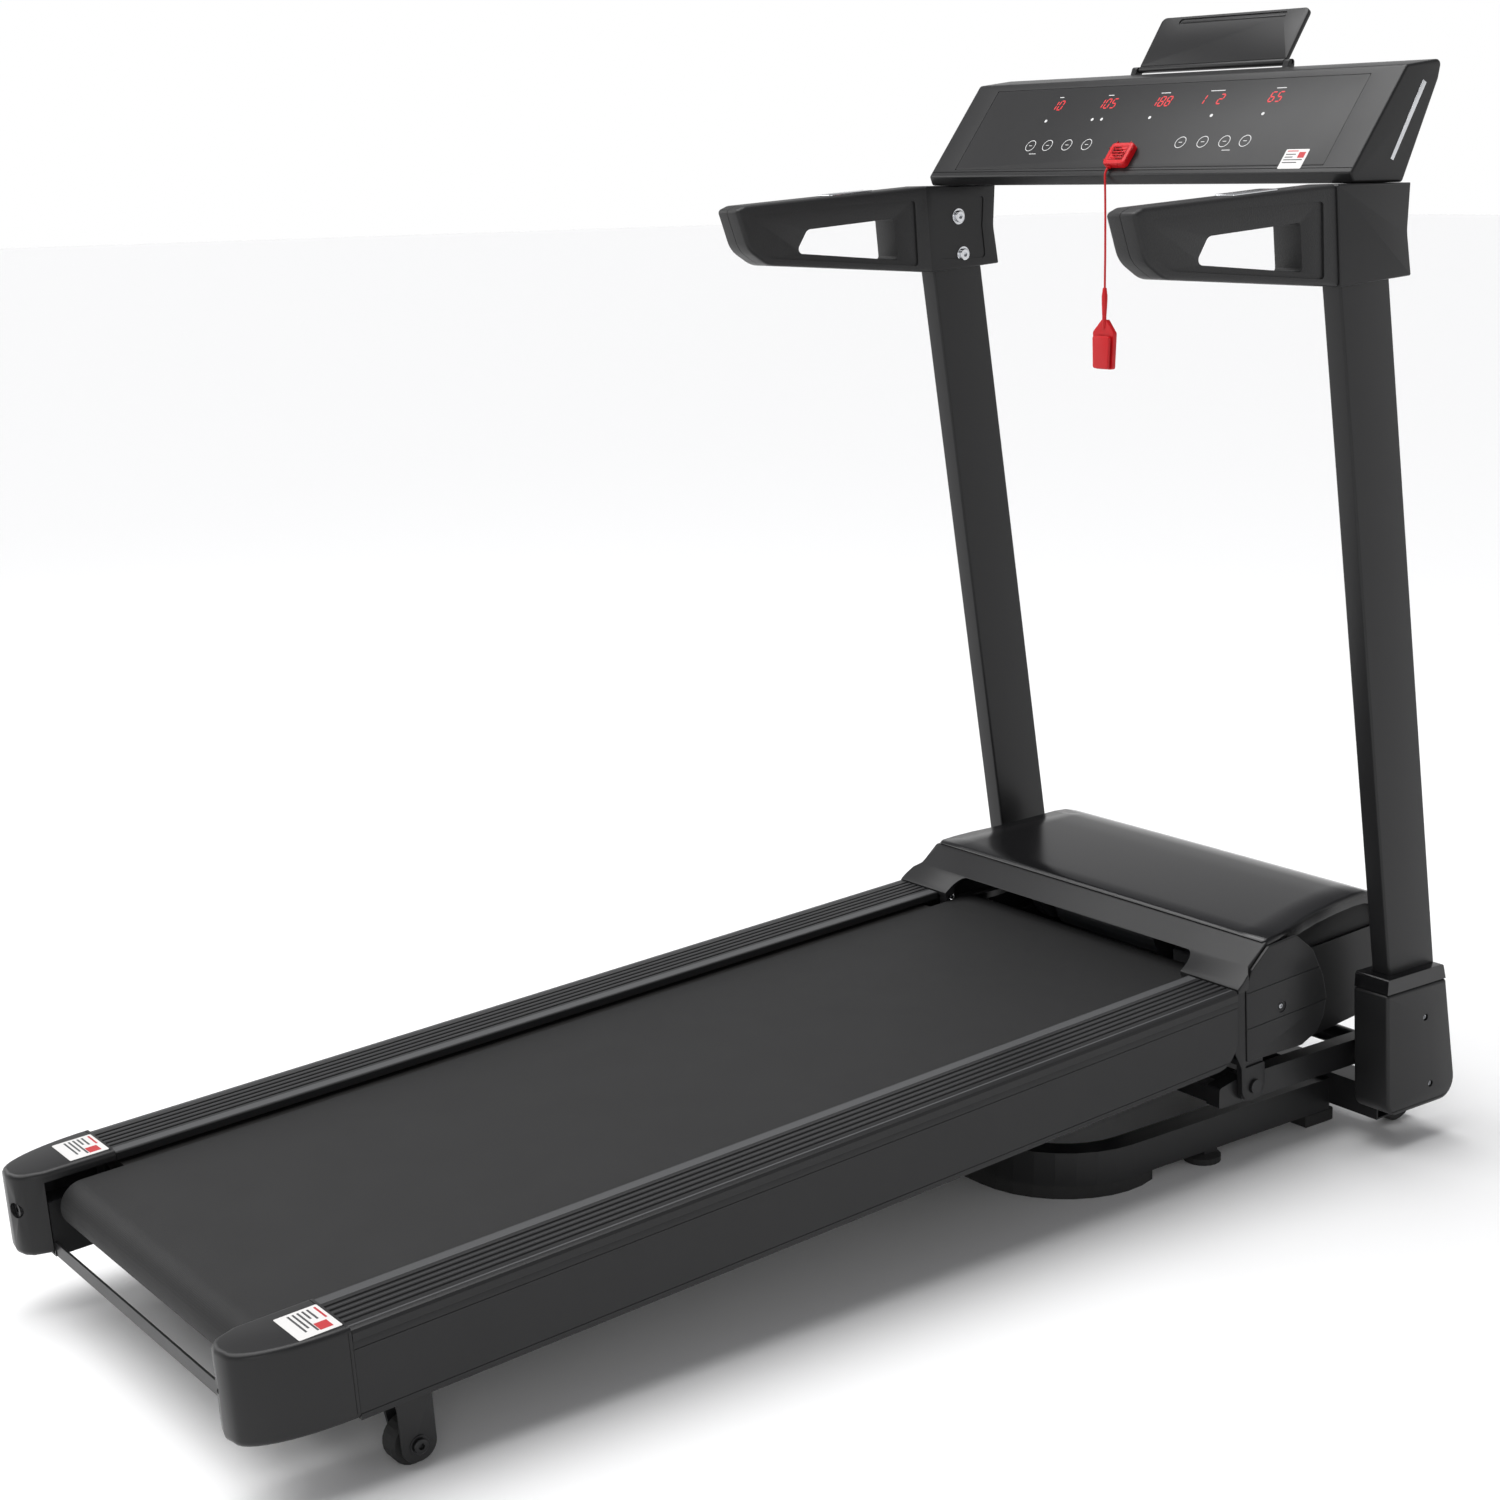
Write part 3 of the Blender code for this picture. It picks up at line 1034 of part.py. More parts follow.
def make_links():
    """The gas strut that lifts the deck, and the motor with its ram that tilts the lift frame."""
    holder, length = link_empty("strut_line", STRUT_FOOT, STRUT_HEAD)
    barrel, bore, eye = 0.0110, 0.0088, 0.0042 + RUNNING
    end = 0.340
    start = 0.022
    profile = [(barrel, end), (barrel, start), (0.0, start), (0.0, start + 0.008), (bore, start + 0.008),
               (bore, end - 0.008),
               (0.0045 + RUNNING, end - 0.008), (0.0045 + RUNNING, end)]
    cylinder = turned("strut_cylinder", "frame_paint", holder, profile, (0, 0, 0), (0, 0, 1))
    tang = rounded([(-0.0085, -0.0085), (0.0085, -0.0085), (0.0085, 0.025), (-0.0085, 0.025)],
                   [0.008, 0.008, 0, 0])
    join(cylinder, plate("strut_foot_eye", "frame_paint", holder, tang, -0.0085, 0.0085, "x",
                         [circle((0, 0), eye, 14)]))
    profile = [(0.0, length - 0.010), (0.0045, length - 0.010), (0.0045, 0.205), (bore - RUNNING, 0.205),
               (bore - RUNNING, 0.195), (0.0, 0.195)]
    ram = turned("strut_rod", "chrome", holder, profile, (0, 0, 0), (0, 0, 1), 16)
    head = rounded([(-0.0080, length - 0.014), (0.0080, length - 0.014), (0.0080, length + 0.008),
                    (-0.0080, length + 0.008)],
                   [0, 0, 0.0075, 0.0075])
    join(ram, plate("strut_head_eye", "chrome", holder, head, -0.0085, 0.0085, "x",
                    [circle((0, length), eye, 14)]))

    holder, length = link_empty("ram_line", RAM_HEAD, RAM_FOOT)
    eye = 0.0040 + RUNNING
    motor = box("incline_motor", "cast_metal", holder, (-0.0165, -0.0145, 0.020), (0.064, 0.0165, 0.062),
                0.0)
    profile = [(0.0145, 0.212), (0.0145, 0.058), (0.0, 0.058), (0.0, 0.066), (0.0105, 0.066),
               (0.0105, 0.204), (0.0085 + RUNNING, 0.204),
               (0.0085 + RUNNING, 0.212)]
    join(motor, turned("ram_sleeve", "cast_metal", holder, profile, (0, 0, 0), (0, 0, 1), 20))
    join(motor, rod("ram_can", "cast_metal", holder, (0.046, 0, 0.060), (0.046, 0, 0.150), 0.0165, 20))
    tang = rounded([(-0.0085, -0.0085), (0.0085, -0.0085), (0.0085, 0.022), (-0.0085, 0.022)],
                   [0.008, 0.008, 0, 0])
    join(motor, plate("ram_motor_eye", "cast_metal", holder, tang, -0.0085, 0.0085, "x",
                      [circle((0, 0), eye, 14)]))
    profile = [(0.0, length - 0.010), (0.0085, length - 0.010), (0.0085, 0.116), (0.0, 0.116)]
    ram = turned("incline_ram", "chrome", holder, profile, (0, 0, 0), (0, 0, 1), 16)
    head = rounded([(-0.0080, length - 0.014), (0.0080, length - 0.014), (0.0080, length + 0.008),
                    (-0.0080, length + 0.008)],
                   [0, 0, 0.0075, 0.0075])
    join(ram, plate("ram_foot_eye", "chrome", holder, head, -0.0085, 0.0085, "x",
                    [circle((0, length), eye, 14)]))


# ---------------------------------------------------------------- hood
def make_hood():
    """The cover's top: a lip that clears the belt, a rising band, a near-flat top and a rounded front."""
    profile = [
        (HOOD_LIP_Y, 0.0012), (HOOD_RIDGE_Y, HOOD_RIDGE_Z), (HOOD_RIDGE_Y + 0.006, HOOD_RIDGE_Z + 0.0015),
        (HOOD_FRONT_Y - 0.045, HOOD_FRONT_Z), (HOOD_FRONT_Y - 0.012, HOOD_FRONT_Z - 0.008),
        (HOOD_FRONT_Y, HOOD_FRONT_Z - 0.030),
        (HOOD_FRONT_Y, HOOD_SEAM_Z), (HOOD_LIP_Y, HOOD_SEAM_Z),
    ]
    hood = plate("hood_top", "gloss_plastic", DECK, profile, -DECK_HALF_WIDTH + 0.001,
                 DECK_HALF_WIDTH - 0.001, "x")
    wide = DECK_HALF_WIDTH - 0.0011
    plan = [(wide, HOOD_LIP_Y - 0.01), (wide, HOOD_LIP_Y + 0.010),
            (DECK_HALF_WIDTH - 0.013, HOOD_RIDGE_Y + 0.020), (DECK_HALF_WIDTH - 0.028,
                                                              HOOD_WIDE_END_Y - 0.02),
            (HOOD_WAIST + 0.003, HOOD_WIDE_END_Y + 0.035), (HOOD_WAIST,
                                                            HOOD_FRONT_Y - 0.03),
                                                            (HOOD_WAIST - 0.02, HOOD_FRONT_Y + 0.01)]
    outline = plan + [(-u, v) for u, v in reversed(plan)]
    boolean(hood, plate("hood_plan", None, DECK, outline, -0.05, 0.10, "z"), "INTERSECT")
    w = HOOD_WALL
    inner = [
        (HOOD_LIP_Y + 0.012, -0.02), (HOOD_LIP_Y + 0.012, 0.004), (HOOD_RIDGE_Y + 0.001, HOOD_RIDGE_Z - w),
        (HOOD_FRONT_Y - 0.045, HOOD_FRONT_Z - w), (HOOD_FRONT_Y - 0.014, HOOD_FRONT_Z - w - 0.008),
        (HOOD_FRONT_Y - w, HOOD_FRONT_Z - 0.032), (HOOD_FRONT_Y - w, -0.02),
    ]
    narrow = HOOD_WAIST - w - 0.018
    cut(hood, plate("hood_hollow", None, DECK, inner, -narrow, narrow, "x"))
    belly = [(HOOD_LIP_Y + 0.015, -0.02), (HOOD_LIP_Y + 0.015, 0.005),
             (HOOD_RIDGE_Y + 0.002, HOOD_RIDGE_Z - w - 0.001),
             (HOOD_WIDE_END_Y - 0.025, HOOD_RIDGE_Z - w), (HOOD_WIDE_END_Y - 0.025, -0.02)]
    cut(hood, plate("hood_belly", None, DECK, belly, -DECK_HALF_WIDTH + 0.035, DECK_HALF_WIDTH - 0.035,
                    "x"))
    half = BELT_HALF_WIDTH + 0.0005
    mouth = rounded([(-half, -0.02), (half, -0.02), (half, 0.0175), (-half, 0.0175)], [0, 0, 0.012, 0.012])
    cut(hood, plate("belt_mouth", None, DECK, mouth, HOOD_LIP_Y - 0.02, HOOD_RIDGE_Y - 0.025, "y"))
    return hood


def make_hood_pan():
    """The tray under the motor, with the front wall and the waist's sides."""
    x = HOOD_WAIST - 0.0005
    start = HOOD_WIDE_END_Y + 0.012
    profile = [(start, HOOD_SEAM_Z - GAP), (HOOD_FRONT_Y, HOOD_SEAM_Z - GAP), (HOOD_FRONT_Y, -0.100),
               (HOOD_FRONT_Y - 0.020, PAN_FLOOR_Z),
               (start, PAN_FLOOR_Z - 0.006)]
    pan = plate("hood_pan", "dark_plastic", DECK, rounded(profile, [0, 0, 0.004, 0.012, 0.004]), -x, x, "x",
                (), 0.0)
    w = HOOD_WALL
    inner = [(start - 0.01, 0.01), (HOOD_FRONT_Y - w, 0.01), (HOOD_FRONT_Y - w, -0.099),
             (HOOD_FRONT_Y - 0.021, PAN_FLOOR_Z + w),
             (start - 0.01, PAN_FLOOR_Z - 0.006 + w)]
    cut(pan, plate("pan_hollow", None, DECK, inner, -x + w, x - w, "x"))
    y = HOOD_FRONT_Y
    cut(pan, box("inlet_hole", None, DECK, (-0.2155, y - 0.02, -0.0735), (-0.1845, y + 0.01, -0.0485)))
    cut(pan, box("rocker_hole", None, DECK, (-0.1655, y - 0.02, -0.0725), (-0.1505, y + 0.01, -0.0495)))
    cut(pan, rod("breaker_hole", None, DECK, (-0.130, y - 0.02, -0.061), (-0.130, y + 0.01, -0.061), 0.0065,
                 20))
    return pan


def make_power_entry():
    y = HOOD_FRONT_Y
    inlet = box(
        "power_inlet", "dark_plastic", DECK, (-0.2155 + GAP, y - 0.022, -0.0735 + GAP), (-0.1845 - GAP,
                                                                                         y + 0.0012,
                                                                                         -0.0485 - GAP)
    )
    cut(inlet, box("inlet_recess", None, DECK, (-0.2120, y - 0.016, -0.0700), (-0.1880, y + 0.01, -0.0520)))
    for tag, x, z in (("a", -0.206, -0.064), ("b", -0.194, -0.064), ("c", -0.200, -0.058)):
        join(inlet, box("inlet_blade_" + tag, "dark_plastic", DECK, (x - 0.001, y - 0.017, z - 0.002),
                        (x + 0.001, y - 0.006, z + 0.002)))
    rocker = plate(
        "power_rocker", "dark_plastic", DECK,
        [(y - 0.007, -0.0705), (y - 0.007, -0.0515), (y + 0.0010, -0.0515), (y - 0.0012, -0.0610),
         (y + 0.0026, -0.0705)],
        -0.1648, -0.1512, "x",
    )
    origin_at(rocker, (-0.158, y - 0.006, -0.061))
    profile = [(0.0, 0.0042), (0.0045, 0.0042), (0.0055, 0.0035), (0.0055, -0.008), (0.0, -0.008)]
    turned("breaker_button", "dark_plastic", DECK, profile, (-0.130, y, -0.061), (0, 1, 0), 20)


def make_side_panels():
    for name, side in SIDES:
        top = HOOD_SEAM_Z - GAP
        first = DECK_LENGTH + 0.0225
        outline = [
            (first, top), (1.2842, top), (1.2938, -0.0254), (1.2992, -0.0518), (1.2938, -0.0755), (1.2828,
                                                                                                   -0.0919),
            (1.2560, -0.1015), (first, -0.0960),
        ]
        x = (DECK_HALF_WIDTH - 0.0110, DECK_HALF_WIDTH - 0.0075)
        panel = side_plate("side_panel_" + name, "dark_plastic", DECK, side,
                           rounded(outline, [0, 0, 0.01, 0.01, 0.01, 0.01, 0.01, 0.002]), x)
        rim = side_box(
            "panel_rim_" + name, "dark_plastic", DECK, side, (HOOD_WAIST + 0.004,
                                                              x[0] + 0.001), (first + 0.004, 1.278),
            (top - 0.004, top - 0.001),
        )
        join(panel, rim)
        low, high = between(side, x[0] - 0.01, x[1] + 0.01)
        at = (1.2210, -0.0430)
        cut(panel, rod("panel_screw_" + name, None, DECK, (low, *at), (high, *at), 0.0042, 16))


MOTOR_Y = 1.330
MOTOR_Z = -0.038
PULLEY_RADIUS = 0.0150
ROLLER_PULLEY_RADIUS = 0.0210
PULLEY_X = -LONGERON_INNER + 0.0065
MOTOR_START = PULLEY_X + 0.056  # the motor's end beside the flywheel


def make_drive():
    """The motor, its flywheel, the ribbed belt to the front roller, and the controller."""
    motor = rod("drive_motor", "cast_metal", DECK, (MOTOR_START, MOTOR_Y, MOTOR_Z),
                (MOTOR_START + 0.180, MOTOR_Y, MOTOR_Z),
                0.042, 28)
    foot_low = (MOTOR_START + 0.040, MOTOR_Y - 0.030, FRAME_BOTTOM + 0.0038)
    join(motor, box("motor_foot", "cast_metal", DECK, foot_low,
                    (MOTOR_START + 0.160, MOTOR_Y + 0.030, MOTOR_Z - 0.034)))
    shaft = 0.006
    cut(motor, rod("motor_bore", None, DECK, (MOTOR_START - 0.01, MOTOR_Y, MOTOR_Z),
                   (MOTOR_START + 0.040, MOTOR_Y, MOTOR_Z),
                   shaft + RUNNING, 16))
    low = (LONGERON_INNER - 0.1525, 1.270, FRAME_BOTTOM + 0.0038)
    high = (LONGERON_INNER - 0.0175, 1.395, -0.040)
    box("motor_controller", "cast_metal", DECK, low, high, 0.002, 1)
    profile = [
        (0.0, 0.042), (shaft, 0.042), (shaft, 0.0075), (0.038, 0.0075), (0.038, -0.0075), (PULLEY_RADIUS,
                                                                                           -0.0075),
        (PULLEY_RADIUS, -0.0205), (0.0, -0.0205),
    ]
    centre = PULLEY_X + 0.0150
    turned("motor_flywheel", "cast_metal", DECK, profile, (centre, MOTOR_Y, MOTOR_Z), (1, 0, 0), 28)
    outer, inner = [], []
    run = Vector((MOTOR_Y - FRONT_ROLLER_Y, MOTOR_Z - ROLLER_Z))
    lean = math.degrees(math.atan2(run.y, run.x))
    wrap = math.degrees(math.asin((ROLLER_PULLEY_RADIUS - PULLEY_RADIUS) / run.length))
    for loop, extra in ((outer, GAP + 0.0030), (inner, GAP)):
        loop += arc((FRONT_ROLLER_Y, ROLLER_Z), ROLLER_PULLEY_RADIUS + extra, 90 + lean - wrap,
                    270 + lean + wrap, 10)
        loop += arc((MOTOR_Y, MOTOR_Z), PULLEY_RADIUS + extra, -90 + lean + wrap, 90 + lean - wrap, 8)
    plate("drive_belt", "rubber", DECK, outer, PULLEY_X - 0.0050, PULLEY_X + 0.0050, "x", [inner])


make_base()
make_feet()
make_uprights()
make_necks_and_handles()
make_console()
make_flap()
make_key()
make_cord()
make_deck_frame()
make_deck_pieces()
make_rear_caps()
make_rollers()
make_wheels()
make_hood()
make_hood_pan()
make_power_entry()
make_side_panels()
make_lift_frame()
make_links()
make_drive()
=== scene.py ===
# %% [markdown]
# # A folding treadmill
# The mechanical model is loaded first and stays as it is. Each step after that makes one family of
# pieces: the camera and the safety cord, then the deck, the hood, the uprights, the handles and the
# console, and last the finishes, the floor and the light. Lengths are metres: X is to the user's right, Y
# runs to the console.

# %% Load the model
import json
import math

import bmesh
import bpy
from mathutils import Matrix, Vector


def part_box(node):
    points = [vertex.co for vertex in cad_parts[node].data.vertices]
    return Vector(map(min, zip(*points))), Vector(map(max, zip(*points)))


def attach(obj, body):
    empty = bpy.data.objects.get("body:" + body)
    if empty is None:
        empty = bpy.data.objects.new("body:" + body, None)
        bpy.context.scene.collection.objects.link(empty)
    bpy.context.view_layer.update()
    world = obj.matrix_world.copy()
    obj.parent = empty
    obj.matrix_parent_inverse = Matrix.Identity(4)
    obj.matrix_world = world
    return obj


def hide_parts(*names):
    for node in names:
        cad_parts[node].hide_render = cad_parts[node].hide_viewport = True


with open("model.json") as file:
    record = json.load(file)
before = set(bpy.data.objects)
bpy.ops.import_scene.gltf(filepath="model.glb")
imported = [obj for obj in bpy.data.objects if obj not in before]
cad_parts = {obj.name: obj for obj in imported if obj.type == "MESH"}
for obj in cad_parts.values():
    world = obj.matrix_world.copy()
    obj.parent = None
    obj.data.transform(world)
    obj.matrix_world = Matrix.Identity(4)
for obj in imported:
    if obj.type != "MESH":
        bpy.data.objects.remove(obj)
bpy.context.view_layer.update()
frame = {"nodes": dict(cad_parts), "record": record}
nodes = frame["nodes"]

# %% [markdown]
# ## Planes that the machine is built on
# The deck leans up to the front, and so do the uprights and the console's face. A piece is easier to
# model lying flat, so each is made on the plain axes of its own plane and then turned into place by that
# plane's matrix.

# %% The planes
SHIFT = -0.6785  # from the seam behind the foot rails to the middle of the footprint
SIDES = (("l", -1), ("r", 1))
LEVEL = Matrix.Translation((0, SHIFT, 0))
DECK = Matrix.Translation((0, SHIFT, 0.164)) @ Matrix.Rotation(math.radians(3.474), 4, "X")
LEAN, FOOT_Y = math.radians(9.436), 1.384
UPRIGHT = Matrix.Translation((0, SHIFT + FOOT_Y, 0)) @ Matrix.Rotation(LEAN, 4, "X")
LEANING = Matrix.Translation((0, FOOT_Y, 0)) @ Matrix.Rotation(LEAN, 4, "X")  # for cutters, unshifted
FACE_TILT = math.radians(52.61)
FACE = Matrix.Translation((0, SHIFT + 1.226, 1.143)) @ Matrix.Rotation(FACE_TILT, 4, "X")
HINGE_Y, HINGE_Z = 1.3745, 1.2675
FLAP = Matrix.Translation((0, SHIFT + HINGE_Y, HINGE_Z)) @ Matrix.Rotation(math.radians(-34), 4, "X")
# The turn for an outline drawn in Y and Z, then for one in X and Z with its thickness towards the user.
AROUND = Matrix.Rotation(math.pi / 2, 4, "Z") @ Matrix.Rotation(math.pi / 2, 4, "X")
UPWARDS = Matrix.Rotation(math.pi / 2, 4, "X")
print("deck plane starts at", [round(v, 3) for v in DECK.translation])

# %% [markdown]
# ## Camera
# The machine is seen from its right rear corner, a little above the handles. A long-ish lens keeps the
# rails from spreading too much. The camera is set by the direction that it looks in and a small roll.

# %% Camera
YAW, PITCH, ROLL = math.radians(53.455), math.radians(-13.199), math.radians(-0.934)
eye = Vector((2.1423, -1.5950, 1.1599))
ahead = Vector((-math.sin(YAW) * math.cos(PITCH), math.cos(YAW) * math.cos(PITCH), math.sin(PITCH)))
level_right = ahead.cross(Vector((0, 0, 1))).normalized()
level_up = level_right.cross(ahead)
right = level_right * math.cos(ROLL) + level_up * math.sin(ROLL)
up = level_up * math.cos(ROLL) - level_right * math.sin(ROLL)
camera_data = bpy.data.cameras.new("camera")
camera_data.lens = 59.74
camera_data.sensor_width = 36
camera = bpy.data.objects.new("camera", camera_data)
camera.matrix_world = Matrix.Translation(eye) @ Matrix((right, up, -ahead)).transposed().to_4x4()
bpy.context.scene.collection.objects.link(camera)
bpy.context.scene.camera = camera
print("camera at", [round(v, 3) for v in eye])

# %% [markdown]
# ## Helpers
# Operators work on what is selected, so every helper starts by selecting one object alone. Edges and
# faces are then chosen by a test on where they are. `outline` starts from a round disc whose points are
# moved to a drawing, and gives it a thickness by extruding it. `block` starts from a cube.

# %% Selecting
def alone(piece):
    if bpy.context.mode != "OBJECT":
        bpy.ops.object.mode_set(mode="OBJECT")
    bpy.ops.object.select_all(action="DESELECT")
    piece.select_set(True)
    bpy.context.view_layer.objects.active = piece
    return piece


def choose(piece, kind, test):
    """Edit mode, with only the edges or faces that pass the test selected."""
    alone(piece)
    bpy.ops.object.mode_set(mode="EDIT")
    bpy.ops.mesh.select_mode(type=kind)
    bpy.ops.mesh.select_all(action="DESELECT")
    bm = bmesh.from_edit_mesh(piece.data)
    for item in {"VERT": bm.verts, "EDGE": bm.edges, "FACE": bm.faces}[kind]:
        if test(item):
            item.select_set(True)
    bm.select_flush_mode()
    bmesh.update_edit_mesh(piece.data)


def done(piece):
    if bpy.context.mode != "OBJECT":
        bpy.ops.object.mode_set(mode="OBJECT")
    return piece


def bevel(piece, test, width, segments=3):
    choose(piece, "EDGE", test)
    bpy.ops.mesh.bevel(offset=width, segments=segments, profile=0.5, clamp_overlap=True)
    return done(piece)


def middle_of(edge):
    return (edge.verts[0].co + edge.verts[1].co) / 2


def flat_in(axis):
    """A test for edges that lie across an axis, at one height along it."""
    return lambda edge: abs(edge.verts[0].co[axis] - edge.verts[1].co[axis]) < 1e-6


def rim_above(height):
    """A test for the upper rim of an outline."""
    return lambda edge: flat_in(2)(edge) and edge.verts[0].co.z > height


print("selecting is ready")

# %% Starting shapes
def block(name, low, high, rim=0.0, segments=3):
    """A cube between two corners with rounded edges."""
    size = [b - a for a, b in zip(low, high)]
    bpy.ops.mesh.primitive_cube_add(size=1, location=[(a + b) / 2 for a, b in zip(low, high)], scale=size)
    piece = bpy.context.object
    piece.name = piece.data.name = name
    alone(piece)
    bpy.ops.object.transform_apply(location=True, rotation=True, scale=True)
    if rim:
        bevel(piece, lambda edge: True, rim, segments)
    return piece


def outline(name, points, low, high, rim=0.0, segments=3, both=True):
    """A drawing in X and Y with a thickness along Z, and its rims rounded."""
    bpy.ops.mesh.primitive_circle_add(vertices=len(points), radius=1, fill_type="NGON")
    piece = bpy.context.object
    piece.name = piece.data.name = name
    alone(piece)
    bpy.ops.object.mode_set(mode="EDIT")
    bm = bmesh.from_edit_mesh(piece.data)
    bm.verts.ensure_lookup_table()
    for corner, (u, v) in zip(bm.verts, points):
        corner.co = (u, v, low)
    bmesh.update_edit_mesh(piece.data)
    bpy.ops.mesh.select_all(action="SELECT")
    bpy.ops.mesh.extrude_region_move(TRANSFORM_OT_translate={"value": (0, 0, high - low)})
    bpy.ops.mesh.select_all(action="SELECT")
    bpy.ops.mesh.normals_make_consistent(inside=False)
    done(piece)
    if rim:
        bevel(piece, flat_in(2) if both else rim_above(high - 1e-6), rim, segments)
    return piece


def drum(name, start, end, radius, rim=0.0, sides=40, segments=3):
    """A round bar between two points, its rims rounded."""
    start, end = Vector(start), Vector(end)
    run = end - start
    turn = run.to_track_quat("Z", "Y").to_euler()
    bpy.ops.mesh.primitive_cylinder_add(
        vertices=sides, radius=radius, depth=run.length, location=(start + end) / 2, rotation=turn
    )
    piece = bpy.context.object
    piece.name = piece.data.name = name
    if rim:
        caps = {f.index for f in piece.data.polygons if len(f.vertices) == sides}
        choose(piece, "EDGE", lambda e: any(f.index in caps for f in e.link_faces))
        bpy.ops.mesh.bevel(offset=rim, segments=segments, profile=0.5)
        done(piece)
    alone(piece)
    bpy.ops.object.transform_apply(location=True, rotation=True, scale=True)
    return piece


def rounded(corners, radii, steps=5):
    """A drawing with its corners rounded, each by its own radius."""
    radii = radii if isinstance(radii, (list, tuple)) else [radii] * len(corners)
    drawn = []
    for i, (corner, radius) in enumerate(zip(corners, radii)):
        here = Vector(corner)
        before = Vector(corners[i - 1]) - here
        after = Vector(corners[(i + 1) % len(corners)]) - here
        half = before.angle(after) / 2
        if radius <= 0:
            drawn.append(tuple(here))
            continue
        reach = min(radius / math.tan(half), before.length * 0.49, after.length * 0.49)
        centre = here + (before.normalized() + after.normalized()).normalized() * (reach / math.cos(half))
        first = here + before.normalized() * reach - centre
        last = here + after.normalized() * reach - centre
        sweep = first.angle_signed(last)
        drawn += [tuple(centre + Matrix.Rotation(-sweep * k / steps, 2) @ first) for k in range(steps + 1)]
    return drawn


def oblong(left, low, right, high):
    return [(left, low), (right, low), (right, high), (left, high)]


print("block, outline and drum are ready")


# %% Cutting, joining and settling
def carry_out(piece, modifier):
    alone(piece)
    bpy.ops.object.modifier_apply(modifier=modifier.name)
    return piece


def combine(piece, others, operation):
    for other in others:
        step = piece.modifiers.new(operation.lower(), "BOOLEAN")
        step.operation = operation
        step.solver = "EXACT"
        step.object = other
        carry_out(piece, step)
        bpy.data.objects.remove(other, do_unlink=True)
    return piece


def cut(piece, *others):
    return combine(piece, others, "DIFFERENCE")


def put_together(name, pieces):
    """Several shapes in one object, each left as it is."""
    alone(pieces[0])
    for other in pieces:
        other.select_set(True)
    bpy.ops.object.join()
    pieces[0].name = pieces[0].data.name = name
    return pieces[0]


def turn_into(piece, plane):
    """Puts a piece drawn on plain axes on its plane, with its place in its mesh."""
    alone(piece)
    piece.matrix_world = plane @ piece.matrix_world
    bpy.ops.object.transform_apply(location=True, rotation=True, scale=True)
    return piece


def mirror_side(piece, side):
    """The left piece is the right one turned over, with its faces pointing outwards again."""
    if side < 0:
        alone(piece)
        piece.scale.x = -1
        bpy.ops.object.transform_apply(location=True, rotation=True, scale=True)
        bpy.ops.object.mode_set(mode="EDIT")
        bpy.ops.mesh.select_all(action="SELECT")
        bpy.ops.mesh.normals_make_consistent(inside=False)
        done(piece)
    return piece


def to_side(piece, name, side, plane, drawn=AROUND):
    """A piece drawn for the right side, turned over for the left, on its plane and with its name."""
    if drawn:
        turn_into(piece, drawn)
    turn_into(mirror_side(piece, side), plane)
    piece.name = name
    return piece


def face_up(sheet):
    if sum(f.normal.z * f.area for f in sheet.data.polygons) < 0:
        choose(sheet, "FACE", lambda f: True)
        bpy.ops.mesh.flip_normals()
        done(sheet)
    return sheet


def settle(piece, material, body, slot, *replaced, angle=35):
    """The last step: smooth shading, a finish, the body it moves with and the nodes it stands for."""
    alone(piece)
    bpy.ops.object.shade_smooth_by_angle(angle=math.radians(angle))
    piece.data.materials.clear()
    piece.data.materials.append(material)
    for face in piece.data.polygons:
        face.material_index = 0
    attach(piece, body)
    if replaced:
        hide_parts(*replaced)
    return piece


print("cutting and settling are ready")


# %% [markdown]
# ## Finishes
# Nearly everything here is black, and the finishes differ in gloss and in grain. Each is one shader whose
# roughness drifts over the surface and whose bump comes from a fine grain. The grain reads Object
# coordinates, which are metres on the machine, so a scale of 900 is a grain of about a millimetre.

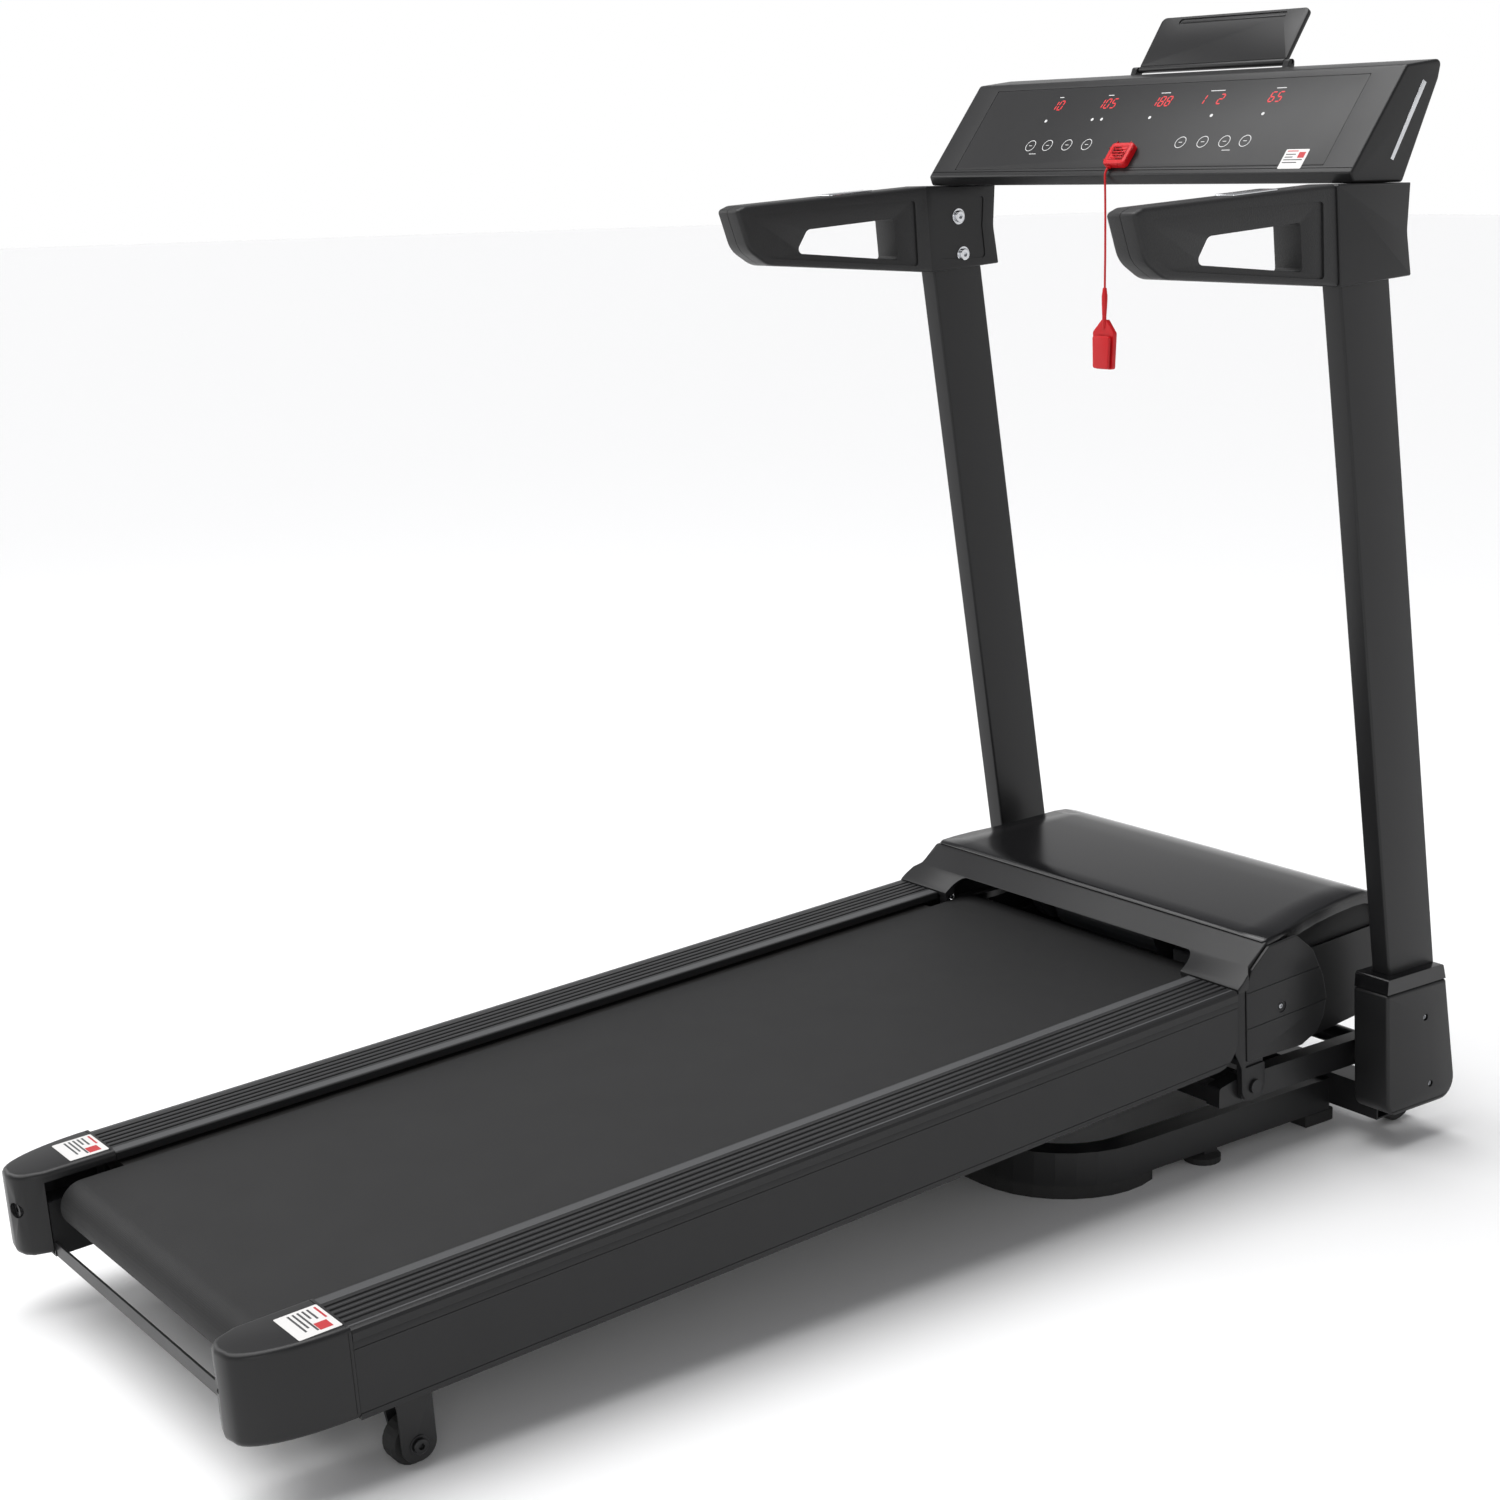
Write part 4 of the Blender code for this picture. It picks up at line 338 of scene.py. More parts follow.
# %% One builder for all the finishes
def finish(
    name, colour, rough, drift=0.06, grain=900, depth=0.00004, metallic=0.0, shade=0.12, kind="NOISE",
    shine=0.3
):
    """A shader with a drifting roughness, a slightly uneven colour and a fine bump."""
    material = bpy.data.materials.new(name)
    material.use_nodes = True
    tree = material.node_tree
    shader = tree.nodes["Principled BSDF"]
    shader.inputs["Metallic"].default_value = metallic
    shader.inputs["Specular IOR Level"].default_value = shine
    place = tree.nodes.new("ShaderNodeTexCoord")
    cloud = tree.nodes.new("ShaderNodeTexNoise")
    cloud.inputs["Scale"].default_value = 14
    cloud.inputs["Detail"].default_value = 5
    tree.links.new(place.outputs["Object"], cloud.inputs["Vector"])
    span = tree.nodes.new("ShaderNodeMapRange")
    span.inputs["To Min"].default_value = rough - drift
    span.inputs["To Max"].default_value = rough + drift
    tree.links.new(cloud.outputs["Fac"], span.inputs["Value"])
    tree.links.new(span.outputs["Result"], shader.inputs["Roughness"])
    ramp = tree.nodes.new("ShaderNodeValToRGB")
    ramp.color_ramp.elements[0].color = (*[c * (1 - shade) for c in colour], 1)
    ramp.color_ramp.elements[1].color = (*[c * (1 + shade) for c in colour], 1)
    if kind == "NOISE":
        fine = tree.nodes.new("ShaderNodeTexNoise")
        fine.inputs["Detail"].default_value = 2
        height = fine.outputs["Fac"]
    else:
        fine = tree.nodes.new("ShaderNodeTexVoronoi")
        height = fine.outputs["Distance"]
    fine.inputs["Scale"].default_value = grain
    tree.links.new(place.outputs["Object"], fine.inputs["Vector"])
    tree.links.new(height, ramp.inputs["Fac"])
    tree.links.new(ramp.outputs["Color"], shader.inputs["Base Color"])
    bump = tree.nodes.new("ShaderNodeBump")
    bump.inputs["Strength"].default_value = 1.0
    bump.inputs["Distance"].default_value = depth
    tree.links.new(height, bump.inputs["Height"])
    tree.links.new(bump.outputs["Normal"], shader.inputs["Normal"])
    return material


powder_coat = finish("powder_coat", (0.0120, 0.0120, 0.0126), 0.34, 0.05, 1100, 0.00003)
rail_coat = finish("rail_coat", (0.0120, 0.0120, 0.0126), 0.46, 0.05, 1500, 0.00002)
handle_grain = finish("handle_grain", (0.0160, 0.0160, 0.0165), 0.44, 0.05, 520, 0.00010, kind="VORONOI")
satin = finish("satin_moulding", (0.0110, 0.0110, 0.0115), 0.36, 0.05, 900, 0.00002)
matt = finish("matt_moulding", (0.0070, 0.0070, 0.0072), 0.55, 0.05, 900, 0.00002, shine=0.2)
piano = finish("piano_black", (0.0050, 0.0050, 0.0055), 0.20, 0.03, 40, 0.00001, shine=0.5)
smoked = finish("smoked_window", (0.0110, 0.0110, 0.0115), 0.42, 0.04, 60, 0.00001)
tread_rubber = finish("black_rubber", (0.0170, 0.0170, 0.0170), 0.70, 0.08, 500, 0.00010)
board = finish("filmed_board", (0.0120, 0.0115, 0.0110), 0.48, 0.08, 240, 0.00004)
bright = finish(
    "bright_chrome", (0.62, 0.63, 0.65), 0.16, 0.05, 300, 0.00001, metallic=1.0, shine=0.5, shade=0.05
)
zinc = finish("zinc_plate", (0.42, 0.43, 0.45), 0.34, 0.08, 900, 0.00002, metallic=1.0, shine=0.5)
turned_alloy = finish(
    "turned_alloy", (0.45, 0.46, 0.47), 0.30, 0.08, 1400, 0.00003, metallic=1.0, shine=0.5
)
black_oxide = finish(
    "black_oxide", (0.020, 0.020, 0.021), 0.30, 0.06, 700, 0.00002, metallic=0.6, shine=0.5
)
cast = finish("painted_casting", (0.060, 0.062, 0.066), 0.48, 0.08, 420, 0.00012, metallic=0.4)
red_plastic = finish("red_plastic", (0.520, 0.006, 0.010), 0.34, 0.05, 800, 0.00003)
red_sheath = finish("red_sheath", (0.500, 0.008, 0.012), 0.48, 0.06, 1600, 0.00004)
white_print = finish("white_print", (0.62, 0.62, 0.62), 0.45, 0.05, 900, 0.00001, shade=0.03)
paper = finish("label_paper", (0.66, 0.65, 0.64), 0.50, 0.05, 600, 0.00002, shade=0.04)
red_print = finish("red_print", (0.45, 0.030, 0.035), 0.45, 0.05, 900, 0.00001, shade=0.05)
grey_line = finish("grey_line", (0.062, 0.063, 0.065), 0.42, 0.06, 700, 0.00003)
print(len(bpy.data.materials), "finishes")

# %% [markdown]
# The running belt's top is a fine weave pressed into the cover. Two sets of ridges cross each other, a
# little over a millimetre apart, and a broad noise keeps the surface from looking printed.

# %% The running belt's weave
def weave(name, colour, pitch):
    material = finish(name, colour, 0.62, 0.05, 900, 0.00003)
    tree = material.node_tree
    place = next(n for n in tree.nodes if n.type == "TEX_COORD")
    bump = next(n for n in tree.nodes if n.type == "BUMP")
    height = None
    for way in ("X", "Y"):
        wave = tree.nodes.new("ShaderNodeTexWave")
        wave.bands_direction = way
        wave.inputs["Scale"].default_value = 0.314 / pitch
        wave.inputs["Distortion"].default_value = 0.6
        wave.inputs["Detail"].default_value = 1
        tree.links.new(place.outputs["Object"], wave.inputs["Vector"])
        if height is None:
            height = wave.outputs["Fac"]
        else:
            both = tree.nodes.new("ShaderNodeMath")
            both.operation = "MULTIPLY"
            tree.links.new(height, both.inputs[0])
            tree.links.new(wave.outputs["Fac"], both.inputs[1])
            height = both.outputs["Value"]
    tree.links.new(height, bump.inputs["Height"])
    bump.inputs["Distance"].default_value = 0.00012
    return material


belt_cover = weave("running_belt_cover", (0.0085, 0.0085, 0.0088), 0.0012)
print("belt weave ready")

# %% [markdown]
# ## Safety cord
# A thin red cord runs from the tab of the safety key over the console's lip and hangs straight down to a
# clip. It is a fixed length of something limp, so it is drawn as one smooth curve with a round section.
# The sleeve below it stops the cord from fraying where it enters the clip.

# %% Safety cord
CORD_DIAMETER = 0.0026
CORD_POINTS = [
    (-0.0224, 1.2270, 1.1509), (-0.0227, 1.2252, 1.1482), (-0.0229, 1.2239, 1.1448),
    (-0.0228, 1.2235, 1.1405),
    (-0.0226, 1.2235, 1.1350), (-0.0223, 1.2235, 1.1280), (-0.0219, 1.2235, 1.1180),
    (-0.0215, 1.2235, 1.1060),
    (-0.0211, 1.2235, 1.0920), (-0.0208, 1.2235, 1.0760), (-0.0205, 1.2235, 1.0600),
    (-0.0203, 1.2235, 1.0440),
    (-0.0202, 1.2235, 1.0280), (-0.0201, 1.2235, 1.0125), (-0.0201, 1.2235, 0.9900),
    (-0.0201, 1.2235, 0.9670),
]
cord_points = [LEVEL @ Vector(p) for p in CORD_POINTS]
cord_curve = bpy.data.curves.new("lanyard", "CURVE")
cord_curve.dimensions = "3D"
cord_curve.bevel_depth = CORD_DIAMETER / 2
cord_curve.bevel_resolution = 5
cord_curve.use_fill_caps = True
cord_line = cord_curve.splines.new("BEZIER")
cord_line.bezier_points.add(len(cord_points) - 1)
for knot, at in zip(cord_line.bezier_points, cord_points):
    knot.co = at
    knot.handle_left_type = knot.handle_right_type = "AUTO"
lanyard = bpy.data.objects.new("lanyard", cord_curve)
bpy.context.scene.collection.objects.link(lanyard)
cord_curve.materials.append(red_sheath)
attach(lanyard, "safety_key")
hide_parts("safety_cord")

# %% [markdown]
# The clip is a small red clamp: a shell whose shoulders narrow to the sleeve, and a lever on a pin behind
# it. The shell is drawn flat and extruded, and its rims are rounded. Rings on the sleeve are cut and
# swollen one by one.

# %% Clip and key
CLIP_X, CLIP_Y = -0.0201, 1.2235
PIN_Y, PIN_Z = CLIP_Y - 0.0035, 0.940
clip_points = rounded(
    [
        (-0.0038, 0.9745), (-0.0186, 0.9595), (-0.0136, 0.9160), (0.0146, 0.9160), (0.0166, 0.9590),
        (0.0038, 0.9745)
    ],
    [0.002, 0.005, 0.003, 0.003, 0.005, 0.002],
)
clip_shell = outline(
    "clip_shell", [(CLIP_X + u, v) for u, v in clip_points], -CLIP_Y - 0.0050, -CLIP_Y + 0.0006
)
choose(clip_shell, "FACE", lambda f: abs(f.normal.z) > 0.9 and len(f.verts) > 8)
bpy.ops.mesh.inset(thickness=0.0012)
done(clip_shell)
bevel(
    clip_shell, lambda e: flat_in(2)(e) and abs(abs(e.verts[0].co.z + CLIP_Y + 0.0022) - 0.0028) < 1e-4,
    0.0009
)
turn_into(clip_shell, LEVEL @ UPWARDS)
sleeve = drum("clip_sleeve", (CLIP_X, CLIP_Y, 0.9640), (CLIP_X, CLIP_Y, 1.0122), 0.0024, 0.0006, 20)
for ring in range(6):
    rise = 0.9800 + 0.0045 * ring
    choose(sleeve, "VERT", lambda v: False)
    bpy.ops.mesh.select_all(action="SELECT")
    bpy.ops.mesh.bisect(plane_co=(0, 0, rise), plane_no=(0, 0, 1))
    bpy.ops.transform.resize(value=(1.12, 1.12, 1), center_override=(CLIP_X, CLIP_Y, rise))
    done(sleeve)
turn_into(sleeve, LEVEL)
pin = drum("clip_pin", (CLIP_X - 0.007, PIN_Y, PIN_Z), (CLIP_X + 0.007, PIN_Y, PIN_Z), 0.0012, 0.0003, 16)
lugs = [
    block(
        "lug", (CLIP_X + a - 0.00125, CLIP_Y - 0.0045, 0.9388), (CLIP_X + a + 0.00125, CLIP_Y, 0.9412),
        0.0003, 2
    )
    for a in (-0.0057, 0.0057)
]
clamp = put_together("lanyard_clip", [turn_into(p, LEVEL) for p in (pin, *lugs)] + [clip_shell, sleeve])
settle(clamp, red_plastic, "safety_key", "safety_red", "cord_clip")
leaf_points = rounded([(-0.0125, 0.9170), (0.0125, 0.9170), (0.0140, 0.9555), (-0.0140, 0.9555)], 0.003)
clip_leaf = outline(
    "clip_leaf", [(CLIP_X + u, v) for u, v in leaf_points], -CLIP_Y + 0.0026, -CLIP_Y + 0.0062
)
bevel(clip_leaf, rim_above(-CLIP_Y + 0.006), 0.0009, 3)
turn_into(clip_leaf, UPWARDS)
for middle in (-0.0059, 0.0059):
    low = (CLIP_X + middle - 0.0019, CLIP_Y - 0.0050, 0.9370)
    high = (CLIP_X + middle + 0.0019, CLIP_Y, 0.9430)
    cut(clip_leaf, block("lug_room", low, high))
pin_room = drum("pin_room", (CLIP_X - 0.009, PIN_Y, PIN_Z), (CLIP_X + 0.009, PIN_Y, PIN_Z), 0.0015, 0, 16)
cut(clip_leaf, pin_room)
settle(turn_into(clip_leaf, LEVEL), red_plastic, "clip_lever", "safety_red", "clip_lever")

# %% Safety key
KEY_X, KEY_UP = -0.0134, 0.0253
key_cap = outline(
    "key_cap",
    rounded(oblong(KEY_X - 0.018, KEY_UP - 0.0155, KEY_X + 0.018, KEY_UP + 0.0155), 0.005),
    0.0004, 0.0086,
)
bevel(key_cap, rim_above(0.008), 0.0022, 4)
choose(key_cap, "FACE", lambda f: f.normal.z > 0.99 and f.calc_area() > 0.0001)
bpy.ops.mesh.inset(thickness=0.0030)
bpy.ops.mesh.inset(thickness=0.0012, depth=-0.0009)
done(key_cap)
grip_ridges = [
    block(
        "ridge", (KEY_X - 0.009, KEY_UP + r - 0.0007, 0.0070), (KEY_X + 0.009, KEY_UP + r + 0.0007, 0.0084),
        0.0004, 2
    )
    for r in (-0.0060, -0.0020, 0.0020, 0.0060)
]
key_tab = outline(
    "key_tab",
    rounded(oblong(KEY_X - 0.013, KEY_UP - 0.0178, KEY_X - 0.005, KEY_UP - 0.010), 0.002),
    0.0015, 0.0065, 0.0006,
)
key_stem = drum("key_stem", (KEY_X, KEY_UP, -0.0085), (KEY_X, KEY_UP, 0.002), 0.006, 0.0006)
key = put_together("stop_key", [turn_into(p, FACE) for p in (key_cap, key_tab, key_stem, *grip_ridges)])
settle(key, red_plastic, "safety_key", "safety_red", "safety_key")
print("safety key made")

# %% [markdown]
# ## Running belt, rollers and board
# The belt is one closed loop round two rollers. The loop's outline is extruded across the machine, with
# enough points at its curved ends to look round, and a smaller loop is cut out of it. The weave comes
# from the finish.

# %% Running belt
BELT_HALF = 0.2075
ROLLER_Z = -0.0363
ROLLER_R, BELT_THICK = 0.0243, 0.0018
REAR_Y, FRONT_ROLLER = -0.045, 1.178


def loop_points(radius, steps=28):
    turn = [math.pi / 2 + math.pi * i / steps for i in range(steps + 1)]
    rear = [(REAR_Y + radius * math.cos(a), ROLLER_Z + radius * math.sin(a)) for a in turn]
    front = [(FRONT_ROLLER - radius * math.cos(a), ROLLER_Z - radius * math.sin(a)) for a in turn]
    return rear + front


belt = outline("belt", loop_points(ROLLER_R + BELT_THICK), -BELT_HALF, BELT_HALF)
cut(belt, outline("inside", loop_points(ROLLER_R), -BELT_HALF - 0.01, BELT_HALF + 0.01))
turn_into(belt, DECK @ AROUND)
settle(belt, belt_cover, "deck", "belt_rubber", "running_belt")
print("belt loop", round(2 * (FRONT_ROLLER - REAR_Y) + 2 * math.pi * ROLLER_R, 3), "m round")

# %% [markdown]
# ## Foot rails
# The user stands on two ribbed rails while the belt starts. Each is one extrusion of a plastic profile,
# so its section is drawn once, with five raised ribs, and extruded along the deck. Thin pale strips along
# both edges and on the rib tops are painted highlights, the sheen of the plastic.

# %% Foot rails
RAIL_LENGTH = 1.139
RAIL_IN, RAIL_OUT = 0.222, 0.300


def rail_section():
    section = [(RAIL_IN, -0.0085), (RAIL_IN, -0.0008), (RAIL_IN + 0.0008, 0.0)]
    for rib in range(5):
        start = RAIL_IN + 0.020 + rib * 0.0095
        section += [
            (start, 0.0), (start + 0.0007, -0.0014), (start + 0.0032, -0.0014), (start + 0.0039, 0.0)
        ]
    section += [
        (RAIL_OUT - 0.0042, 0.0), (RAIL_OUT - 0.0015, -0.0012), (RAIL_OUT, -0.0042), (RAIL_OUT, -0.0120)
    ]
    return section + [(RAIL_OUT - 0.037, -0.0120), (RAIL_IN + 0.004, -0.0095)]


for tag, side in SIDES:
    rail = outline("foot_rail", rail_section(), -RAIL_LENGTH, -0.0006)
    to_side(rail, "ribbed_rail_" + tag, side, DECK, UPWARDS)
    settle(rail, satin, "deck", "moulded_plastic", "foot_rail_" + tag, angle=25)
    # Pale grey strips along both rim edges and on the rib tops: painted highlights, the sheen of the ribbed
    # plastic.
    sheen_strips = [
        (RAIL_IN + 0.0025, RAIL_IN + 0.0150, 0.00025, 0.0002),
        (RAIL_OUT - 0.0098, RAIL_OUT - 0.0072, 0.00022, 0.0002)
    ]
    for rib in range(4):
        low = RAIL_IN + 0.0264 + rib * 0.0095
        sheen_strips.append((low, low + 0.0009, 0.00018, 0.0001))
    strips = [
        block("strip", (a, 0.0012, -0.0006), (b, RAIL_LENGTH - 0.001, top), rim, 1) for a, b, top,
        rim in sheen_strips
    ]
    sheen_piece = to_side(put_together("painted_rail_sheen_" + tag, strips), "painted_rail_sheen_" + tag, side, DECK, None)
    settle(sheen_piece, grey_line, "deck", "moulded_plastic")
print("foot rails", RAIL_LENGTH, "m long")

# %% [markdown]
# ## Side rails
# Below each foot rail a steel channel stiffens the deck. From outside it is a tall flat face with a soft
# edge and a rolled lower front corner, with a shallow groove near its top and bottom.

# %% Side rails
for tag, side in SIDES:
    drawing = rounded(oblong(0.0006, -0.090, RAIL_LENGTH, -0.0124), [0, 0.034, 0, 0], 12)
    rail = outline("side_rail", drawing, 0.2640, 0.2992)
    pocket = rounded(oblong(0.0030, -0.0876, 1.1366, -0.0148), [0, 0.032, 0, 0], 12)
    cut(rail, outline("pocket", pocket, 0.2500, 0.2970))
    for low in (-0.0205, -0.0840):
        groove = block(
            "groove", (-0.01, low, 0.2986), (RAIL_LENGTH + 0.01, low + 0.0011, 0.3100), 0.0002, 1
        )
        cut(rail, groove)
    bevel(rail, lambda e: rim_above(0.2991)(e) and not -0.0885 <= middle_of(e).y <= -0.0130, 0.0012, 2)
    to_side(rail, "deck_rail_" + tag, side, DECK)
    settle(rail, rail_coat, "deck", "frame_paint", "side_rail_" + tag)
print("side rails", 0.0776, "m tall")

# %% [markdown]
# ## Rear caps
# A moulded cap closes each rail. Its plan sweeps in to a blunt tail, and all its upper edge is rolled
# over. The plan is extruded down, the upper rim gets a wide bevel, and cutters make room for the frame
# and for the tension bolt.

# %% Rear caps
CAP_LENGTH, CAP_TIP = 0.109, 0.262
BOLT_X = 0.241


def cap_plan():
    sweep = [math.radians(7.5 * k) for k in range(13)]
    plan = [
        (CAP_TIP + (RAIL_OUT - CAP_TIP) * math.cos(a), -CAP_LENGTH * 0.985 * math.sin(a))
        for a in sweep[:-1]
    ]
    return plan + [
        (0.2500, -CAP_LENGTH), (0.2380, -CAP_LENGTH + 0.003), (0.2300, -CAP_LENGTH + 0.010),
        (RAIL_IN, -0.078), (RAIL_IN, 0.0)
    ]


for tag, side in SIDES:
    cap = outline("cap", cap_plan(), -0.0890, 0.0030)
    bevel(cap, lambda e: rim_above(0.002)(e) and middle_of(e).y < -0.0005, 0.0060, 5)
    bevel(cap, lambda e: flat_in(2)(e) and e.verts[0].co.z < -0.088 and middle_of(e).y < -0.0005, 0.0080, 4)
    room = block("room", (0.2000, -0.0792, -0.1200), (0.2500, 0.0100, -0.0080))
    hollow = block("hollow", (0.2400, -0.0600, -0.1200), (0.2860, 0.0100, -0.0080))
    bore = drum("bore", (BOLT_X, -0.1400, ROLLER_Z), (BOLT_X, -0.1000, ROLLER_Z), 0.0085)
    shank = drum("shank", (BOLT_X, -0.1200, ROLLER_Z), (BOLT_X, -0.0600, ROLLER_Z), 0.0033)
    for low, high in (
        ((0.2100, -0.0040, 0.0024), (0.3200, -0.0030, 0.0300)),
        ((0.2994, -0.0040, -0.1000), (0.3200, -0.0030, 0.0300))
    ):
        cut(cap, block("shadow_line", low, high))
    cut(cap, room, hollow, bore, shank)
    to_side(cap, "tail_cap_" + tag, side, DECK, None)
    settle(cap, satin, "deck", "moulded_plastic", "rear_cap_" + tag, angle=30)
print("rear caps", CAP_LENGTH, "m long")

# %% [markdown]
# Each cap carries a small paper label. A plain pale patch with a red block and a few grey bars stands for
# it.

# %% Labels
def label(name, body, plane, corner, size, bars=4):
    """A thin pale patch with one red block and some bars on it."""
    (u, v, rise), (wide, tall) = corner, size
    patch = outline(name, rounded(oblong(u, v, u + wide, v + tall), 0.0015, 3), rise, rise + 0.00025)
    settle(turn_into(patch, plane), paper, body, "moulded_plastic")
    low, high = rise + 0.0001, rise + 0.0004
    red = []
    for a, b, c, d in ((0.62, 0.55, 0.90, 0.85), (0.08, 0.88, 0.55, 0.93)):
        corner, far = (u + wide * a, v + tall * b, low), (u + wide * c, v + tall * d, high)
        red.append(block("red", corner, far, 0.00008, 1))
    settle(turn_into(put_together(name + "_red", red), plane), red_print, body, "safety_red")
    lines = []
    for bar in range(bars):
        top = v + tall * (0.76 - bar * 0.56 / bars)
        reach = (0.50, 0.42, 0.88, 0.70, 0.80)[bar % 5]
        corner, far = (u + wide * 0.08, top - tall * 0.05, low), (u + wide * reach, top, high)
        lines.append(block("bar", corner, far, 0.00008, 1))
    settle(turn_into(put_together(name + "_bars", lines), plane), grey_line, body, "moulded_plastic")


label("cap_label_r", "deck", DECK, (0.2390, -0.0460, 0.0030), (0.052, 0.043), 5)
label("cap_label_l", "deck", DECK, (-0.2820, -0.0460, 0.0030), (0.052, 0.043), 5)
label("console_label", "base", FACE, (0.2370, 0.0060, 0.0000), (0.033, 0.026), 4)
print("three labels")

# %% [markdown]
# ## Motor hood
# The hood has two mouldings. A satin band rises from the lip over the belt's mouth, and a glossy lid lies
# on it. The band's side is drawn, extruded across the machine and cut to its plan. The lid is one row of
# points that is extruded forwards, row by row, each row with its own height and width. The sheet is then
# given a wall.

# %% A sheet from rows
def rows_sheet(name, rows, columns=12, crown=0.0):
    """A sheet extruded row by row. A row is (y, z, half-width); the middle stands higher by the crown."""
    bpy.ops.mesh.primitive_grid_add(x_subdivisions=columns, y_subdivisions=1, size=2)
    sheet = bpy.context.object
    sheet.name = sheet.data.name = name
    choose(sheet, "VERT", lambda v: v.co.y > 0.5)
    bpy.ops.mesh.delete(type="VERT")
    bpy.ops.mesh.select_all(action="SELECT")
    y, z, half = rows[0]
    bpy.ops.transform.resize(value=(half, 1, 1))
    bpy.ops.transform.translate(value=(0, y + 1, z))
    for (y0, z0, half0), (y1, z1, half1) in zip(rows, rows[1:]):
        bpy.ops.mesh.extrude_region_move(TRANSFORM_OT_translate={"value": (0, y1 - y0, z1 - z0)})
        bpy.ops.transform.resize(value=(half1 / half0, 1, 1))
    bm = bmesh.from_edit_mesh(sheet.data)
    for vert in bm.verts:
        vert.co.z += crown * (1 - (vert.co.x / 0.3) ** 2)
    bmesh.update_edit_mesh(sheet.data)
    bpy.ops.mesh.select_all(action="SELECT")
    bpy.ops.mesh.normals_make_consistent(inside=False)
    return face_up(done(sheet))


def walled(piece, thickness):
    wall = piece.modifiers.new("wall", "SOLIDIFY")
    wall.thickness = thickness
    wall.offset = -1
    return carry_out(piece, wall)


print("sheets are ready")

# %% The satin band
LIP_Y, RIDGE_Y = 1.1412, 1.204
band_low, band_wide = -0.0040, 0.2990
band_points = [
    (LIP_Y, band_low), (LIP_Y, 0.0008), (LIP_Y + 0.0012, 0.0022), (RIDGE_Y - 0.004, 0.0388),
    (RIDGE_Y, 0.0408),
    (RIDGE_Y + 0.005, 0.0418), (1.2300, 0.0420), (1.2680, 0.0405), (1.2680, band_low),
]
band = outline("hood_band", band_points, -band_wide, band_wide)
turn_into(band, AROUND)
plan = [
    (band_wide, LIP_Y - 0.02), (band_wide, LIP_Y + 0.008), (0.2965, LIP_Y + 0.020),
    (0.2885, LIP_Y + 0.0288),
    (0.2860, RIDGE_Y + 0.018), (0.2790, 1.2500), (0.2700, 1.2800), (0.2600, 1.3300),
]
plan += [(-u, v) for u, v in reversed(plan)]
combine(band, [outline("plan", plan, -0.05, 0.10)], "INTERSECT")
hollow = [
    (LIP_Y + 0.015, -0.02), (LIP_Y + 0.015, 0.005), (RIDGE_Y + 0.002, 0.0370), (1.2660, 0.0370),
    (1.2900, 0.0300), (1.2900, -0.02)
]
cut(band, turn_into(outline("hollow", hollow, -0.2620, 0.2620), AROUND))
half = BELT_HALF + 0.0008
mouth = rounded(oblong(-half, -0.02, half, 0.0180), [0, 0, 0.013, 0.013], 8)
cut(band, turn_into(outline("mouth", mouth, -1.1800, -1.1200), UPWARDS))


def on_mouth(edge):
    """The rim where the belt runs in, on the sloping face."""
    low, high = edge.verts
    within = max(abs(low.co.x), abs(high.co.x)) < half + 0.0005
    sloping = LIP_Y - 0.001 < min(low.co.y, high.co.y) and max(low.co.y, high.co.y) < 1.176
    return within and sloping and min(low.co.z, high.co.z) > 0.002 and max(low.co.z, high.co.z) < 0.0186


def outer_corner(edge):
    """The long edges where the band's face turns down to its sides."""
    return min(abs(v.co.x) for v in edge.verts) > 0.268 and min(v.co.z for v in edge.verts) > 0.0005


bevel(band, on_mouth, 0.0022, 3)
cheeks = [
    block("cheek", (low, LIP_Y + 0.0004, -0.0300), (low + 0.0120, LIP_Y + 0.0060, 0.0000), 0.0008, 2)
    for low in (0.2088, -0.2208)
]
band = put_together("hood_band", [band, *cheeks])
bevel(band, outer_corner, 0.0035, 3)
turn_into(band, DECK)
settle(band, satin, "deck", "gloss_plastic", "hood_top", angle=30)
print("hood band from", LIP_Y, "to", RIDGE_Y)

# %% The glossy lid
lid_rows = [
    (1.1990, 0.0398, 0.2800), (1.2010, 0.0420, 0.2820), (1.2050, 0.0432, 0.2835), (1.2250, 0.0440, 0.2820),
    (1.2500, 0.0448, 0.2775), (1.2800, 0.0455, 0.2700), (1.3100, 0.0462, 0.2645), (1.3500, 0.0468, 0.2600),
    (1.3850, 0.0468, 0.2580), (1.4050, 0.0450, 0.2570), (1.4220, 0.0395, 0.2560), (1.4330, 0.0290, 0.2550),
    (1.4368, 0.0150, 0.2545), (1.4370, -0.0038, 0.2545),
]
lid = rows_sheet("hood_lid", lid_rows, 14, 0.0006)
choose(lid, "EDGE", lambda e: e.is_boundary and abs(e.verts[0].co.x) > 0.25 and abs(e.verts[1].co.x) > 0.25)
bpy.ops.mesh.extrude_edges_move(TRANSFORM_OT_translate={"value": (0, 0, -0.0016)})
bpy.ops.transform.resize(value=(1.010, 1, 1))
bpy.ops.mesh.extrude_edges_move(TRANSFORM_OT_translate={"value": (0, 0, -0.0040)})
bpy.ops.transform.resize(value=(1.005, 1, 1))
bpy.ops.mesh.extrude_edges_move(TRANSFORM_OT_translate={"value": (0, 0, -0.0100)})
done(lid)
choose(lid, "FACE", lambda f: True)
bpy.ops.mesh.normals_make_consistent(inside=False)
walled(face_up(done(lid)), 0.0020)
turn_into(lid, DECK)
settle(lid, piano, "deck", "gloss_plastic", angle=50)
print("lid of", len(lid.data.polygons), "faces")

